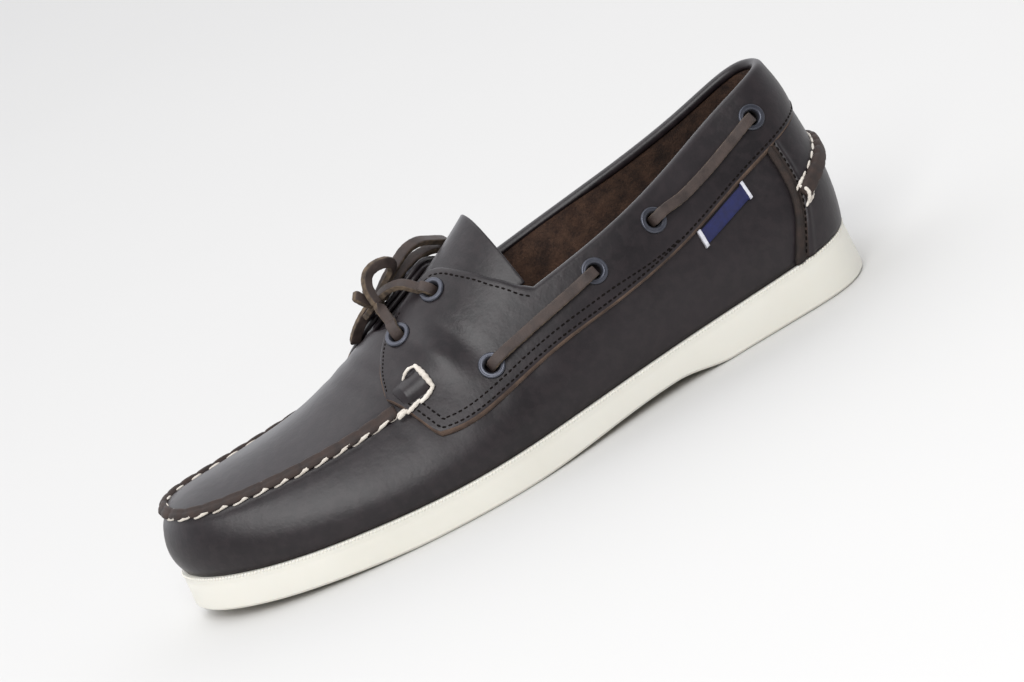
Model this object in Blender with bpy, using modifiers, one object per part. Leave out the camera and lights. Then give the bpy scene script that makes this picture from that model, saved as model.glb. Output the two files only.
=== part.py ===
"""Left boat shoe, built from the pieces that its maker puts together.

The toe points along -X and the heel along +X. The wearer's left, which is the lateral side of a left
shoe, is -Y. The floor is Z = 0 and the origin lies on it, under the middle of the shoe.
"""

import math

import bmesh
import bpy
import numpy as np
from mathutils import Vector

# Driving dimensions, in metres
OUTSOLE_LENGTH = 0.290
BALL_WIDTH = 0.105
SOLE_HEIGHT = 0.0180
ARCH_RISE = 0.0037
TOE_SPRING = 0.0055
COLLAR_HEIGHT = 0.0865
SEAM_HEIGHT = 0.0430
INSTEP_HEIGHT = 0.0800
COLLAR_BACK_INSET = 0.0045
SEAM_TOE_INSET = 0.0055
FEATHER_INSET = 0.0022
WALL = 0.0018
INSOLE_THICKNESS = 0.0030
TONGUE_THICKNESS = 0.0018
SADDLE_THICKNESS = 0.0017
SADDLE_GAP = 0.0006
COUNTER_THICKNESS = 0.0015
SEAM_OVERHANG = 0.0012
SEAM_WIDTH = 0.0034
SEAM_THICKNESS = 0.0022
HEEL_ROLL_RADIUS = 0.0022
EYELET_RADIUS = 0.0040
EYELET_WIRE = 0.0011
LACE_RADIUS = 0.0019
LACE_SPACING = 0.0044
SIDE_LACE_SPACING = 0.0051
HEEL_ROLL_SPACING = 0.0055
LABEL_WIDTH = 0.0056
LABEL_THICKNESS = 0.0008
CLEARANCE = 0.0003
INSOLE_ROOM = 0.0010
INSOLE_EDGE = 0.0006
TONGUE_ROOM = 0.0005

# Pulls of the curves that shape the wall and the crown, as shares of the wall's height, of the half
# width and of the crest's rise
FOOT_PULL = 0.35
RIM_PULL = 0.38
CROWN_START = (0.25, 0.50)
CROWN_END = 0.35

# Sections of the last, from the heel (along 0) to the toe (along 1). Outline and rim are shares of the
# ball width, top is a share of the sole height, rise is the rim's height between seam and collar height,
# dome is the crest above the rim as a share of the instep's height over the seam, lean is the wall's
# angle from upright at the rim in degrees, and bulge swells the lower wall as a share of the ball width.
SECTION_COLUMNS = ("along", "outline_lateral", "outline_medial", "top",
                   "rim_lateral", "rim_medial", "rise", "dome", "lean", "bulge")
SECTIONS = (
    (0.00, 0.000, 0.000, 1.140, 0.000, 0.000, 1.000, 1.900, 10.0, 0.058),
    (0.02, 0.214, 0.228, 1.118, 0.100, 0.099, 0.984, 1.900, 14.0, 0.052),
    (0.06, 0.310, 0.310, 1.066, 0.134, 0.131, 0.918, 1.850, 18.0, 0.040),
    (0.12, 0.343, 0.333, 1.000, 0.162, 0.157, 0.805, 1.750, 20.0, 0.032),
    (0.20, 0.360, 0.318, 0.939, 0.227, 0.220, 0.662, 1.600, 22.0, 0.028),
    (0.30, 0.392, 0.276, 0.878, 0.298, 0.288, 0.524, 1.400, 24.0, 0.026),
    (0.40, 0.438, 0.305, 0.817, 0.327, 0.315, 0.418, 1.130, 28.0, 0.026),
    (0.50, 0.493, 0.407, 0.761, 0.330, 0.318, 0.310, 0.778, 31.0, 0.028),
    (0.60, 0.526, 0.470, 0.722, 0.336, 0.324, 0.156, 0.586, 39.0, 0.030),
    (0.68, 0.517, 0.462, 0.722, 0.333, 0.320, 0.046, 0.454, 44.0, 0.030),
    (0.76, 0.480, 0.430, 0.761, 0.317, 0.303, 0.000, 0.276, 46.0, 0.030),
    (0.84, 0.421, 0.376, 0.828, 0.289, 0.275, -0.010, 0.189, 46.0, 0.031),
    (0.91, 0.339, 0.300, 0.922, 0.248, 0.234, 0.000, 0.135, 44.0, 0.032),
    (0.96, 0.237, 0.190, 1.011, 0.198, 0.184, 0.018, 0.092, 40.0, 0.038),
    (0.99, 0.124, 0.086, 1.072, 0.119, 0.110, 0.030, 0.032, 37.0, 0.042),
    (1.00, 0.000, 0.000, 1.094, 0.000, 0.000, 0.034, 0.000, 35.0, 0.044),
)

# The sole's underside: the heel block ends in a ramp up to the arch, which runs out at the ball
HEEL_FRONT = 0.240
RAMP_TOP = 0.325
BALL_BACK = 0.575
SPRING_START = 0.700
SPRING_POWER = 1.6

# The sole's side and bottom, from the middle of the bottom up to the edge of the top: how far each
# ring lies inside the outline, which face it is measured from, and its height over that face.
SOLE_RINGS = (
    ("bottom", 0.0096, 0.0000),
    ("bottom", 0.0093, 0.0012),
    ("bottom", 0.0073, 0.0012),
    ("bottom", 0.0070, 0.0000),
    ("bottom", 0.0014, 0.0000),
    ("bottom", 0.0000, 0.0014),
    ("top", 0.0005, -0.0036),
    ("top", 0.0012, -0.0032),
    ("top", 0.0003, -0.0027),
    ("top", 0.0003, -0.0009),
    ("top", 0.0012, 0.0000),
)

# The throat: half its width at places along the shoe, as shares of the outsole's length from the
# middle (forward is negative) and shares of the ball width. At its back the edge meets the collar.
THROAT = (
    (-0.1310, 0.000),
    (-0.1285, 0.030),
    (-0.1220, 0.052),
    (-0.1110, 0.062),
    (-0.0521, 0.062),
    (-0.0357, 0.080),
    (-0.0239, 0.113),
    (-0.0110, 0.166),
    (0.0144, 0.248),
    (0.0404, 0.307),
    (0.0700, 0.344),
)
TONGUE_FRONT = -0.175
TONGUE_TIP = 0.038
TONGUE_SIDE_TIP = 0.060
TONGUE_EDGE_LEVEL = 1.16

# The saddle and collar band. Its straight front edge and its lower edge are places and heights as shares
# of the collar's height; its top edge in front of the throat's shoulder is given like the throat.
SADDLE_FRONT = (
    (-0.1727, 0.564),
    (-0.1589, 0.503),
    (-0.1373, 0.373),
)
SADDLE_EDGE = (
    (-0.1373, 0.373),
    (-0.1150, 0.362),
    (-0.0560, 0.378),
    (0.0000, 0.418),
    (0.0576, 0.454),
    (0.1300, 0.482),
    (0.2000, 0.512),
    (0.2750, 0.560),
    (0.3600, 0.636),
    (0.4200, 0.690),
    (0.4845, 0.750),
)
SADDLE_TOP = (
    (-0.1727, 0.307),
    (-0.1583, 0.213),
    (-0.1397, 0.151),
    (-0.1214, 0.110),
    (-0.1051, 0.099),
    (-0.0811, 0.081),
    (-0.0521, 0.070),
    (-0.0357, 0.080),
)

# The moccasin seam ends this turn before its first station, so that no sliver is left there
SEAM_END_ROOM = 0.02

# The counter's front edge: places along the shoe from the heel's back, at levels of the wall
COUNTER_FRONT = (
    (0.00, 0.113),
    (0.12, 0.099),
    (0.27, 0.080),
    (0.37, 0.072),
    (0.50, 0.068),
    (1.00, 0.064),
)
COUNTER_FOOT = 0.0008
COUNTER_GAP = 2.0 * CLEARANCE
COUNTER_ROWS = np.array([0.0, 0.12, 0.30, 0.50, 0.72, 1.0])
COUNTER_COLUMNS = 17

# The hand-sewn roll across the heel: height at its ends and its middle as shares of the collar's height
HEEL_ROLL_END = 0.056
HEEL_ROLL_HEIGHTS = (0.455, 0.600)
HEEL_ROLL_POINTS = 13

# Eyelets on each side: place along the shoe and level on the upper
EYELETS = (
    ("throat_rear", -0.0463, 1.596),
    ("throat_front", -0.1131, 1.554),
    ("side_1", -0.0372, 0.750),
    ("side_2", 0.1372, 0.854),
    ("side_3", 0.2376, 0.856),
    ("side_4", 0.4268, 0.856),
)
SIDE_LACES = (("side_1", "side_2"), ("side_3", "side_4"))

# How far round an eyelet the leather is felt for its highest spot, as turn, level and share of its radius
EYELET_FLAT = (0.06, 0.25)
EYELET_MARGIN = 1.25

# How the lace leaves an eyelet: distance along the lace from the eyelet's middle, and height of the
# lace's axis above the leather, in metres
LACE_LIFT = ((-0.0010, 0.0023), (0.0016, 0.0046), (0.0044, 0.0057))
LACE_REST = ((0.0095, 0.0050), (0.0170, 0.0038))

# The bow: where the strands cross, and the knot's place and half sizes in metres. Each free cord starts
# at a spot on the knot, given as a turn round it and a rise over its waist in degrees, then follows a
# route in metres, and ends at another spot or free.
CROSSING = (-0.0295, 0.0, 0.0742)
KNOT_PLACE = (-0.0300, 0.0020)
KNOT_SIZE = (0.0052, 0.0054, 0.0035)
KNOT_GAP = 0.0010
BOW_CORDS = {
    "bow_ring": ((250, 66), (
        (-0.0332, -0.0024, 0.0862), (-0.0295, -0.0022, 0.0887), (-0.0246, -0.0020, 0.0880),
        (-0.0226, -0.0024, 0.0845),
    ), (318, 34)),
    "bow_loop_rear": ((13, 52), (
        (-0.0205, 0.0056, 0.0862), (-0.0130, 0.0105, 0.0876), (-0.0065, 0.0145, 0.0872),
        (0.0010, 0.0205, 0.0848), (0.0062, 0.0262, 0.0808), (0.0066, 0.0315, 0.0765),
        (0.0020, 0.0335, 0.0745), (-0.0065, 0.0315, 0.0745), (-0.0150, 0.0270, 0.0770),
        (-0.0215, 0.0212, 0.0809), (-0.0252, 0.0142, 0.0824),
    ), (63, 14)),
    "bow_loop_front": ((155, 40), (
        (-0.0392, 0.0068, 0.0838), (-0.0430, 0.0095, 0.0775), (-0.0464, 0.0145, 0.0700),
        (-0.0482, 0.0203, 0.0640), (-0.0470, 0.0256, 0.0614), (-0.0434, 0.0248, 0.0644),
        (-0.0410, 0.0190, 0.0694), (-0.0392, 0.0120, 0.0745), (-0.0378, 0.0055, 0.0780),
    ), None),
    "bow_end_front": ((232, 10), ((-0.0380, -0.0046, 0.0820), (-0.0425, -0.0052, 0.0828)), None),
    "bow_end_medial": ((114, -14), (
        (-0.0310, 0.0135, 0.0782), (-0.0296, 0.0200, 0.0755), (-0.0284, 0.0260, 0.0705),
        (-0.0276, 0.0310, 0.0645), (-0.0271, 0.0350, 0.0585),
    ), None),
}

# The label under the lateral band: from and to, as places along the shoe
LABEL_PLACES = (0.2800, 0.3680)

LATERAL = -1
MEDIAL = 1
WALL_LEVELS = np.array([0.0, 0.09, 0.22, 0.37, 0.53, 0.70, 0.85, 1.0])
CROWN_STEPS = np.linspace(0.0, 1.0, 6)

COLOURS = {
    "leather": (0.045, 0.035, 0.036, 1.0),
    "rubber": (0.80, 0.76, 0.66, 1.0),
    "lining": (0.075, 0.040, 0.022, 1.0),
    "lace": (0.070, 0.048, 0.038, 1.0),
    "eyelet": (0.060, 0.058, 0.062, 1.0),
    "label": (0.030, 0.040, 0.130, 1.0),
}


def section_column(name):
    """One column of the section table as an array."""
    index = SECTION_COLUMNS.index(name)
    return np.array([row[index] for row in SECTIONS])


def natural_spline(knots, values):
    """A function through the given values with smooth slope and curvature."""
    count = len(knots)
    steps = np.diff(knots)
    system = np.eye(count)
    right = np.zeros(count)
    for i in range(1, count - 1):
        system[i, i - 1:i + 2] = steps[i - 1], 2.0 * (steps[i - 1] + steps[i]), steps[i]
        right[i] = 6.0 * ((values[i + 1] - values[i]) / steps[i] - (values[i] - values[i - 1]) / steps[i - 1])
    bend = np.linalg.solve(system, right)

    def evaluate(position):
        """Value of the spline at a position or an array of positions."""
        position = np.asarray(position, dtype=float)
        index = np.clip(np.searchsorted(knots, position) - 1, 0, count - 2)
        step = steps[index]
        before = (knots[index + 1] - position) / step
        after = (position - knots[index]) / step
        curve = (before ** 3 - before) * bend[index] + (after ** 3 - after) * bend[index + 1]
        return before * values[index] + after * values[index + 1] + curve * step ** 2 / 6.0

    return evaluate


def turn_of(along):
    """Angle that stands for a place along the shoe: 0 at the heel's back and pi at the toe's tip."""
    return np.arccos(np.clip(1.0 - 2.0 * np.asarray(along, dtype=float), -1.0, 1.0))


KNOTS = turn_of(section_column("along"))
SPLINES = {name: natural_spline(KNOTS, section_column(name)) for name in SECTION_COLUMNS[1:]}


def along_of(turn):
    """Share of the length from the heel's back for an angle."""
    return 0.5 - 0.5 * np.cos(turn)


def smooth_step(value, start, end):
    """0 before start, 1 after end and a soft ramp between them."""
    share = np.clip((value - start) / (end - start), 0.0, 1.0)
    return share * share * (3.0 - 2.0 * share)


def sole_top(x):
    """Height of the sole's upper face at a place along X."""
    along = np.clip(0.5 - x / OUTSOLE_LENGTH, 0.0, 1.0)
    return SOLE_HEIGHT * SPLINES["top"](turn_of(along))


def sole_bottom(x):
    """Height of the sole's underside at a place along X."""
    along = np.clip(0.5 - x / OUTSOLE_LENGTH, 0.0, 1.0)
    arch = smooth_step(along, HEEL_FRONT, RAMP_TOP) * (1.0 - smooth_step(along, RAMP_TOP, BALL_BACK))
    spring = np.clip((along - SPRING_START) / (1.0 - SPRING_START), 0.0, 1.0) ** SPRING_POWER
    return ARCH_RISE * arch + TOE_SPRING * spring


def side_name(side):
    """Word for a side of the shoe."""
    return "lateral" if side == LATERAL else "medial"


def outline_point(side, turn, inset):
    """Plan point of the sole's outline on one side, moved inwards by an inset."""
    tiny = 1e-4
    turn = np.asarray(turn, dtype=float)
    spline = SPLINES["outline_" + side_name(side)]

    def place(angle):
        """Plan point on the outline itself."""
        x = OUTSOLE_LENGTH * (0.5 - along_of(angle))
        return np.stack([x, side * BALL_WIDTH * spline(angle)], axis=-1)

    tangent = place(turn + tiny) - place(turn - tiny)
    outward = side * np.stack([tangent[..., 1], -tangent[..., 0]], axis=-1)
    outward /= np.linalg.norm(outward, axis=-1, keepdims=True)
    return place(turn) - outward * inset, outward


def rim_point(side, turn):
    """Point of the collar's rim, or of the moccasin seam in front of it."""
    back = 0.5 * OUTSOLE_LENGTH - COLLAR_BACK_INSET
    front = -0.5 * OUTSOLE_LENGTH + SEAM_TOE_INSET
    x = back + (front - back) * along_of(turn)
    y = side * BALL_WIDTH * SPLINES["rim_" + side_name(side)](turn)
    z = SEAM_HEIGHT + (COLLAR_HEIGHT - SEAM_HEIGHT) * SPLINES["rise"](turn)
    return np.stack([x, y, z], axis=-1)


def rim_turn(x):
    """Angle at which the rim passes a place along X."""
    back = 0.5 * OUTSOLE_LENGTH - COLLAR_BACK_INSET
    front = -0.5 * OUTSOLE_LENGTH + SEAM_TOE_INSET
    return turn_of((back - np.asarray(x, dtype=float)) / (back - front))


def bezier(points, share):
    """Point of a cubic curve with four control points."""
    a, b, c, d = points
    rest = 1.0 - share
    return a * rest ** 3 + 3.0 * b * rest ** 2 * share + 3.0 * c * rest * share ** 2 + d * share ** 3


def upper_point(side, turn, level):
    """Point on the outside of the upper.

    Level 0 is the feather edge on the sole, 1 the rim or seam, and 2 the crest over the instep.
    """
    turn, level = np.broadcast_arrays(np.asarray(turn, dtype=float), np.asarray(level, dtype=float))
    foot, outward = outline_point(side, turn, FEATHER_INSET)
    foot = np.concatenate([foot, (sole_top(foot[..., 0]) + CLEARANCE)[..., None]], axis=-1)
    outward = np.concatenate([outward, np.zeros_like(turn)[..., None]], axis=-1)
    rim = rim_point(side, turn)
    height = (rim[..., 2] - foot[..., 2])[..., None]
    up = np.array([0.0, 0.0, 1.0])
    apart = (foot - rim) * np.array([1.0, 1.0, 0.0])
    apart = apart / np.maximum(np.linalg.norm(apart, axis=-1, keepdims=True), 1e-9)
    lean = np.radians(SPLINES["lean"](turn))[..., None]
    swell = BALL_WIDTH * SPLINES["bulge"](turn)[..., None]
    low = foot + outward * swell + up * height * FOOT_PULL
    high = rim + (apart * np.sin(lean) - up * np.cos(lean)) * height * RIM_PULL
    wall = bezier((foot, low, high, rim), np.clip(level, 0.0, 1.0)[..., None])
    inwards = rim * np.array([0.0, -1.0, 0.0])
    dome = (INSTEP_HEIGHT - SEAM_HEIGHT) * SPLINES["dome"](turn)[..., None]
    crest = rim + inwards + up * dome
    shoulder = rim + inwards * CROWN_START[0] + up * dome * CROWN_START[1]
    top = crest - inwards * CROWN_END
    crown = bezier((rim, shoulder, top, crest), np.clip(level - 1.0, 0.0, 1.0)[..., None])
    return np.where((level <= 1.0)[..., None], wall, crown)


def upper_normal(side, turn, level):
    """Direction that points out of the upper at a place on it."""
    tiny = 1e-3
    turn, level = np.broadcast_arrays(np.asarray(turn, dtype=float), np.asarray(level, dtype=float))
    low = np.where(level > 1.0, np.maximum(level - tiny, 1.0 + 1e-9), level - tiny)
    high = np.where(level > 1.0, level + tiny, np.minimum(level + tiny, 1.0))
    rise = upper_point(side, turn, np.clip(high, 0.0, 2.0)) - upper_point(side, turn, np.clip(low, 0.0, 2.0))
    ahead = np.clip(turn + tiny, 0.0, math.pi)
    behind = np.clip(turn - tiny, 0.0, math.pi)
    run = upper_point(side, ahead, level) - upper_point(side, behind, level)
    at_end = ((turn < tiny) | (turn > math.pi - tiny))[..., None]
    run = np.where(at_end, run * np.array([0.0, 1.0, 0.0]), run)
    normal = side * np.cross(run, rise * np.where(at_end, np.array([1.0, 0.0, 1.0]), 1.0))
    return normal / np.maximum(np.linalg.norm(normal, axis=-1, keepdims=True), 1e-12)


def upper_offset(side, turn, level, distance):
    """Point at a distance outside the upper's outer face."""
    return upper_point(side, turn, level) + upper_normal(side, turn, level) * distance


def level_at_width(side, turn, half_width):
    """Level over the rim at which the upper comes in to a half width."""
    levels = np.linspace(1.0, 2.0, 201)
    widths = np.abs(upper_point(side, turn, levels)[:, 1])
    return float(np.interp(-half_width, -widths, levels))


def level_at_height(side, turn, height):
    """Level at which the upper passes a height."""
    levels = np.linspace(0.0, 2.0, 401)
    return float(np.interp(height, upper_point(side, turn, levels)[:, 2], levels))


def rim_place(turn):
    """Place of the rim along the shoe, as a share of the outsole's length from the middle."""
    return float(rim_point(LATERAL, turn)[0]) / OUTSOLE_LENGTH


def throat_level(side, turn):
    """Level at which the upper ends above: the collar, the throat's edge or the closed crest."""
    place = rim_place(turn)
    stops = [row[0] for row in THROAT]
    if place <= stops[0]:
        return 2.0
    if place >= stops[-1]:
        return 1.0
    return level_at_width(side, turn, BALL_WIDTH * np.interp(place, stops, [row[1] for row in THROAT]))


def saddle_edge_height(place):
    """Height of the saddle's and band's lower edge."""
    front_places = [row[0] for row in SADDLE_FRONT]
    edge_places = [row[0] for row in SADDLE_EDGE]
    if place < front_places[-1]:
        share = np.interp(place, front_places, [row[1] for row in SADDLE_FRONT])
    else:
        share = natural_spline(edge_places, [row[1] for row in SADDLE_EDGE])(place)
    return COLLAR_HEIGHT * float(share)


def saddle_span(side, turn):
    """Lowest and highest level of the saddle and band at a place."""
    place = rim_place(turn)
    low = level_at_height(side, turn, saddle_edge_height(place))
    stops = [row[0] for row in SADDLE_TOP]
    if place < stops[-1]:
        high = level_at_width(side, turn, BALL_WIDTH * np.interp(place, stops, [row[1] for row in SADDLE_TOP]))
    else:
        high = throat_level(side, turn)
    return low, max(low, high)


def upper_levels(side, turn):
    """Levels of the upper's rows at a place, the same for the upper and for all that lies on it."""
    crown = 1.0 + (throat_level(side, turn) - 1.0) * CROWN_STEPS[1:]
    return np.concatenate([WALL_LEVELS, crown])


def make_material(name, colour, roughness, metallic=0.0):
    """A Principled material with one colour."""
    material = bpy.data.materials.new(name)
    material.use_nodes = True
    shader = material.node_tree.nodes["Principled BSDF"]
    shader.inputs["Base Color"].default_value = colour
    shader.inputs["Roughness"].default_value = roughness
    shader.inputs["Metallic"].default_value = metallic
    material.diffuse_color = colour
    return material


def mesh_from_grids(name, grids, material, collection):
    """A mesh object whose faces join the points of one or more grids."""
    mesh = bmesh.new()
    for grid in grids:
        rows = [[mesh.verts.new(point) for point in row] for row in grid]
        for lower, upper in zip(rows[:-1], rows[1:]):
            for i in range(len(lower) - 1):
                mesh.faces.new((lower[i], lower[i + 1], upper[i + 1], upper[i]))
    bmesh.ops.remove_doubles(mesh, verts=mesh.verts, dist=1e-6)
    bmesh.ops.dissolve_degenerate(mesh, edges=mesh.edges, dist=1e-6)
    bmesh.ops.recalc_face_normals(mesh, faces=mesh.faces)
    data = bpy.data.meshes.new(name)
    mesh.to_mesh(data)
    mesh.free()
    data.shade_smooth()
    data.materials.append(material)
    part = bpy.data.objects.new(name, data)
    collection.objects.link(part)
    return part


def point_outwards(part, inner_point):
    """Turn an open sheet's faces so that they look away from a point inside the shoe."""
    mesh = bmesh.new()
    mesh.from_mesh(part.data)
    facing = sum(face.normal.dot(face.calc_center_median() - inner_point) for face in mesh.faces)
    if facing < 0.0:
        bmesh.ops.reverse_faces(mesh, faces=mesh.faces)
        mesh.to_mesh(part.data)
    mesh.free()


def thicken(part, thickness, outwards):
    """Give an open sheet its thickness on one side."""
    shell = part.modifiers.new("Wall", "SOLIDIFY")
    shell.thickness = thickness
    shell.offset = 1.0 if outwards else -1.0
    shell.use_even_offset = True
    shell.use_rim = True


def round_turns(count, extra=()):
    """Angles from the toe's tip to the heel's back, closer together at both ends."""
    turns = set(np.round(np.linspace(0.0, math.pi, count + 1), 6))
    turns.update(np.round(extra, 6))
    return np.array(sorted(turns, reverse=True))


def stacked_rings(name, turns, rings, material, collection):
    """A closed body from rings that follow the sole's outline, with flat ends."""
    loops = []
    for face, inset, rise in rings:
        points = []
        for side, order in ((LATERAL, turns), (MEDIAL, turns[::-1])):
            plan, _ = outline_point(side, order, inset)
            base = sole_bottom(plan[:, 0]) if face == "bottom" else sole_top(plan[:, 0])
            points.append(np.column_stack([plan, base + rise]))
        loops.append(np.vstack(points))
    half = len(turns)
    grids = [np.array(loops)]
    for loop in (loops[0], loops[-1]):
        grids.append(np.array([loop[:half], loop[half:][::-1]]))
    return mesh_from_grids(name, grids, material, collection)


def build_outsole(material, collection):
    """The rubber cup: heel block, ramp, arch, toe spring, stitched channel and beaded side."""
    marks = [HEEL_FRONT, RAMP_TOP, BALL_BACK, SPRING_START]
    return stacked_rings("outsole", round_turns(28, turn_of(marks)), SOLE_RINGS, material, collection)


def build_insole(material, collection):
    """The sock that lies on the sole inside the upper."""
    inset = FEATHER_INSET + WALL + INSOLE_ROOM
    rings = (
        ("top", inset, CLEARANCE),
        ("top", inset, CLEARANCE + INSOLE_THICKNESS - INSOLE_EDGE),
        ("top", inset + INSOLE_EDGE, CLEARANCE + INSOLE_THICKNESS),
    )
    return stacked_rings("insole", round_turns(24), rings, material, collection)


def upper_turns():
    """Angles of the upper's stations, from the toe's tip to the heel's back."""
    places = np.array([row[0] for row in THROAT])
    corners = [row[0] for row in SADDLE_FRONT + SADDLE_TOP[:2]]
    middles = [row[1] for row in EYELETS[3:5]]
    places = np.concatenate([places, corners, middles])
    return round_turns(24, rim_turn(places * OUTSOLE_LENGTH))


def build_upper(material, collection):
    """The hollow upper: vamp with toe plug, and quarters up to the collar."""
    turns = upper_turns()
    wall = []
    for level in WALL_LEVELS:
        wall.append(np.vstack([upper_point(LATERAL, turns, level), upper_point(MEDIAL, turns[::-1], level)]))
    grids = [np.array(wall)]
    back = rim_turn(THROAT[-1][0] * OUTSOLE_LENGTH)
    crown_turns = turns[turns >= back - 1e-6]
    for side in (LATERAL, MEDIAL):
        columns = []
        for turn in crown_turns:
            levels = 1.0 + (throat_level(side, turn) - 1.0) * CROWN_STEPS
            columns.append(upper_point(side, turn, np.maximum(levels, 1.0 + 1e-9)))
        grids.append(np.array(columns))
    upper = mesh_from_grids("upper", grids, material, collection)
    point_outwards(upper, middle_of_shoe())
    thicken(upper, WALL, outwards=False)
    return upper


def middle_of_shoe():
    """A point inside the shoe, half way up its wall."""
    return Vector((0.0, 0.0, 0.5 * (SOLE_HEIGHT + SEAM_HEIGHT)))


def build_tongue(material, collection):
    """The tongue: an arched flap that starts under the plug and stands up behind the throat."""
    depth = WALL + TONGUE_ROOM
    along_steps = np.linspace(0.0, 1.0, 9)
    across = np.linspace(TONGUE_EDGE_LEVEL, 2.0, 7)
    grids = []
    for side in (LATERAL, MEDIAL):
        columns = []
        for step in along_steps:
            column = []
            for level in across:
                rounding = ((2.0 - level) / (2.0 - TONGUE_EDGE_LEVEL)) ** 2
                end = TONGUE_TIP + (TONGUE_SIDE_TIP - TONGUE_TIP) * rounding
                place = TONGUE_FRONT + (end - TONGUE_FRONT) * step
                turn = rim_turn(place * OUTSOLE_LENGTH)
                column.append(upper_offset(side, turn, level, -depth))
            columns.append(column)
        grids.append(np.array(columns))
    for lateral_column, medial_column in zip(grids[0], grids[1]):
        lateral_column[-1, 1] = 0.0
        medial_column[-1] = lateral_column[-1]
    tongue = mesh_from_grids("tongue", grids, material, collection)
    point_outwards(tongue, middle_of_shoe())
    thicken(tongue, TONGUE_THICKNESS, outwards=False)
    return tongue


def build_saddle(material, collection):
    """The eyestay and collar band, one overlay from the lateral front edge round the heel."""
    turns = upper_turns()
    turns = turns[turns <= rim_turn(SADDLE_TOP[0][0] * OUTSOLE_LENGTH) + 1e-6]
    columns = []
    for side, order in ((LATERAL, turns), (MEDIAL, turns[::-1])):
        for turn in order:
            low, high = saddle_span(side, turn)
            levels = np.clip(upper_levels(side, turn), low, high)
            columns.append(upper_offset(side, turn, levels, SADDLE_GAP))
    saddle = mesh_from_grids("saddle_collar", [np.array(columns)], material, collection)
    point_outwards(saddle, middle_of_shoe())
    thicken(saddle, SADDLE_THICKNESS, outwards=True)
    return saddle


def build_counter(material, collection):
    """The overlay round the heel, from the sole up to the collar band."""
    stops = [row[0] for row in COUNTER_FRONT]
    fronts = turn_of([row[1] for row in COUNTER_FRONT])
    columns = []
    for share in np.linspace(-1.0, 1.0, COUNTER_COLUMNS):
        side = LATERAL if share < 0.0 else MEDIAL
        foot = abs(share) * float(fronts[0])
        low = level_at_height(side, foot, float(sole_top(upper_point(side, foot, 0.0)[0])) + COUNTER_FOOT)
        head = abs(share) * float(fronts[-1])
        high = level_at_height(side, head, saddle_edge_height(rim_place(head)) - 2.0 * CLEARANCE)
        levels = low + (high - low) * COUNTER_ROWS
        columns.append(upper_offset(side, abs(share) * np.interp(levels, stops, fronts), levels, COUNTER_GAP))
    counter = mesh_from_grids("heel_counter", [np.array(columns)], material, collection)
    point_outwards(counter, middle_of_shoe())
    thicken(counter, COUNTER_THICKNESS, outwards=True)
    return counter


def plug_point(side, turn, inset):
    """Point on the toe plug at an inset from the moccasin seam, and the way up from it."""
    tiny = 1e-4
    rim = rim_point(side, turn)
    tangent = rim_point(side, turn + tiny) - rim_point(side, turn - tiny)
    outward = side * np.array([tangent[1], -tangent[0], 0.0])
    outward /= np.linalg.norm(outward)
    plan = rim - outward * inset
    across = float(rim_turn(plan[0]))
    half = MEDIAL if plan[1] > 0.0 else LATERAL
    level = max(level_at_width(half, across, abs(plan[1])), 1.0 + 1e-6)
    return upper_point(half, across, level), upper_normal(half, across, level)


def build_moc_seam(material, collection):
    """The raised hand-sewn seam that joins the toe plug to the vamp."""
    turns = upper_turns()
    start = rim_turn((SADDLE_FRONT[0][0] - SEAM_WIDTH) * OUTSOLE_LENGTH)
    turns = np.concatenate([turns[turns > start + SEAM_END_ROOM], [start]])
    columns = []
    for side, order in ((LATERAL, turns[::-1]), (MEDIAL, turns)):
        for turn in order:
            wall_height = np.linalg.norm(upper_point(side, turn, 1.0) - upper_point(side, turn, 0.9)) / 0.1
            outer_level = 1.0 - SEAM_OVERHANG / wall_height
            plug, plug_up = plug_point(side, turn, SEAM_WIDTH)
            rim_out = upper_normal(side, turn, 1.0) + plug_up
            rim_out /= np.linalg.norm(rim_out)
            columns.append(np.array([
                upper_offset(side, turn, outer_level, 2.0 * CLEARANCE),
                upper_point(side, turn, 1.0) + rim_out * 2.0 * CLEARANCE,
                plug + plug_up * 3.0 * CLEARANCE,
            ]))
    seam = mesh_from_grids("moc_seam", [np.array(columns)], material, collection)
    point_outwards(seam, middle_of_shoe())
    thicken(seam, SEAM_THICKNESS, outwards=True)
    return seam


def smooth_route(points, spacing):
    """Points of a smooth curve through a route, about a spacing apart."""
    points = np.array(points)
    lengths = np.concatenate([[0.0], np.cumsum(np.linalg.norm(np.diff(points, axis=0), axis=1))])
    count = max(3, int(round(lengths[-1] / spacing)) + 1)
    steps = np.linspace(0.0, lengths[-1], count)
    return np.column_stack([natural_spline(lengths, points[:, axis])(steps) for axis in range(3)])


def build_tube(name, route, radius, spacing, material, collection):
    """A round cord or roll along a route, with closed ends."""
    points = smooth_route(route, spacing)
    curve = bpy.data.curves.new(name, "CURVE")
    curve.dimensions = "3D"
    curve.bevel_depth = radius
    curve.bevel_resolution = 2
    curve.use_fill_caps = True
    spline = curve.splines.new("POLY")
    spline.points.add(len(points) - 1)
    for target, point in zip(spline.points, points):
        target.co = (*point, 1.0)
    curve.materials.append(material)
    tube = bpy.data.objects.new(name, curve)
    collection.objects.link(tube)
    return tube


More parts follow.
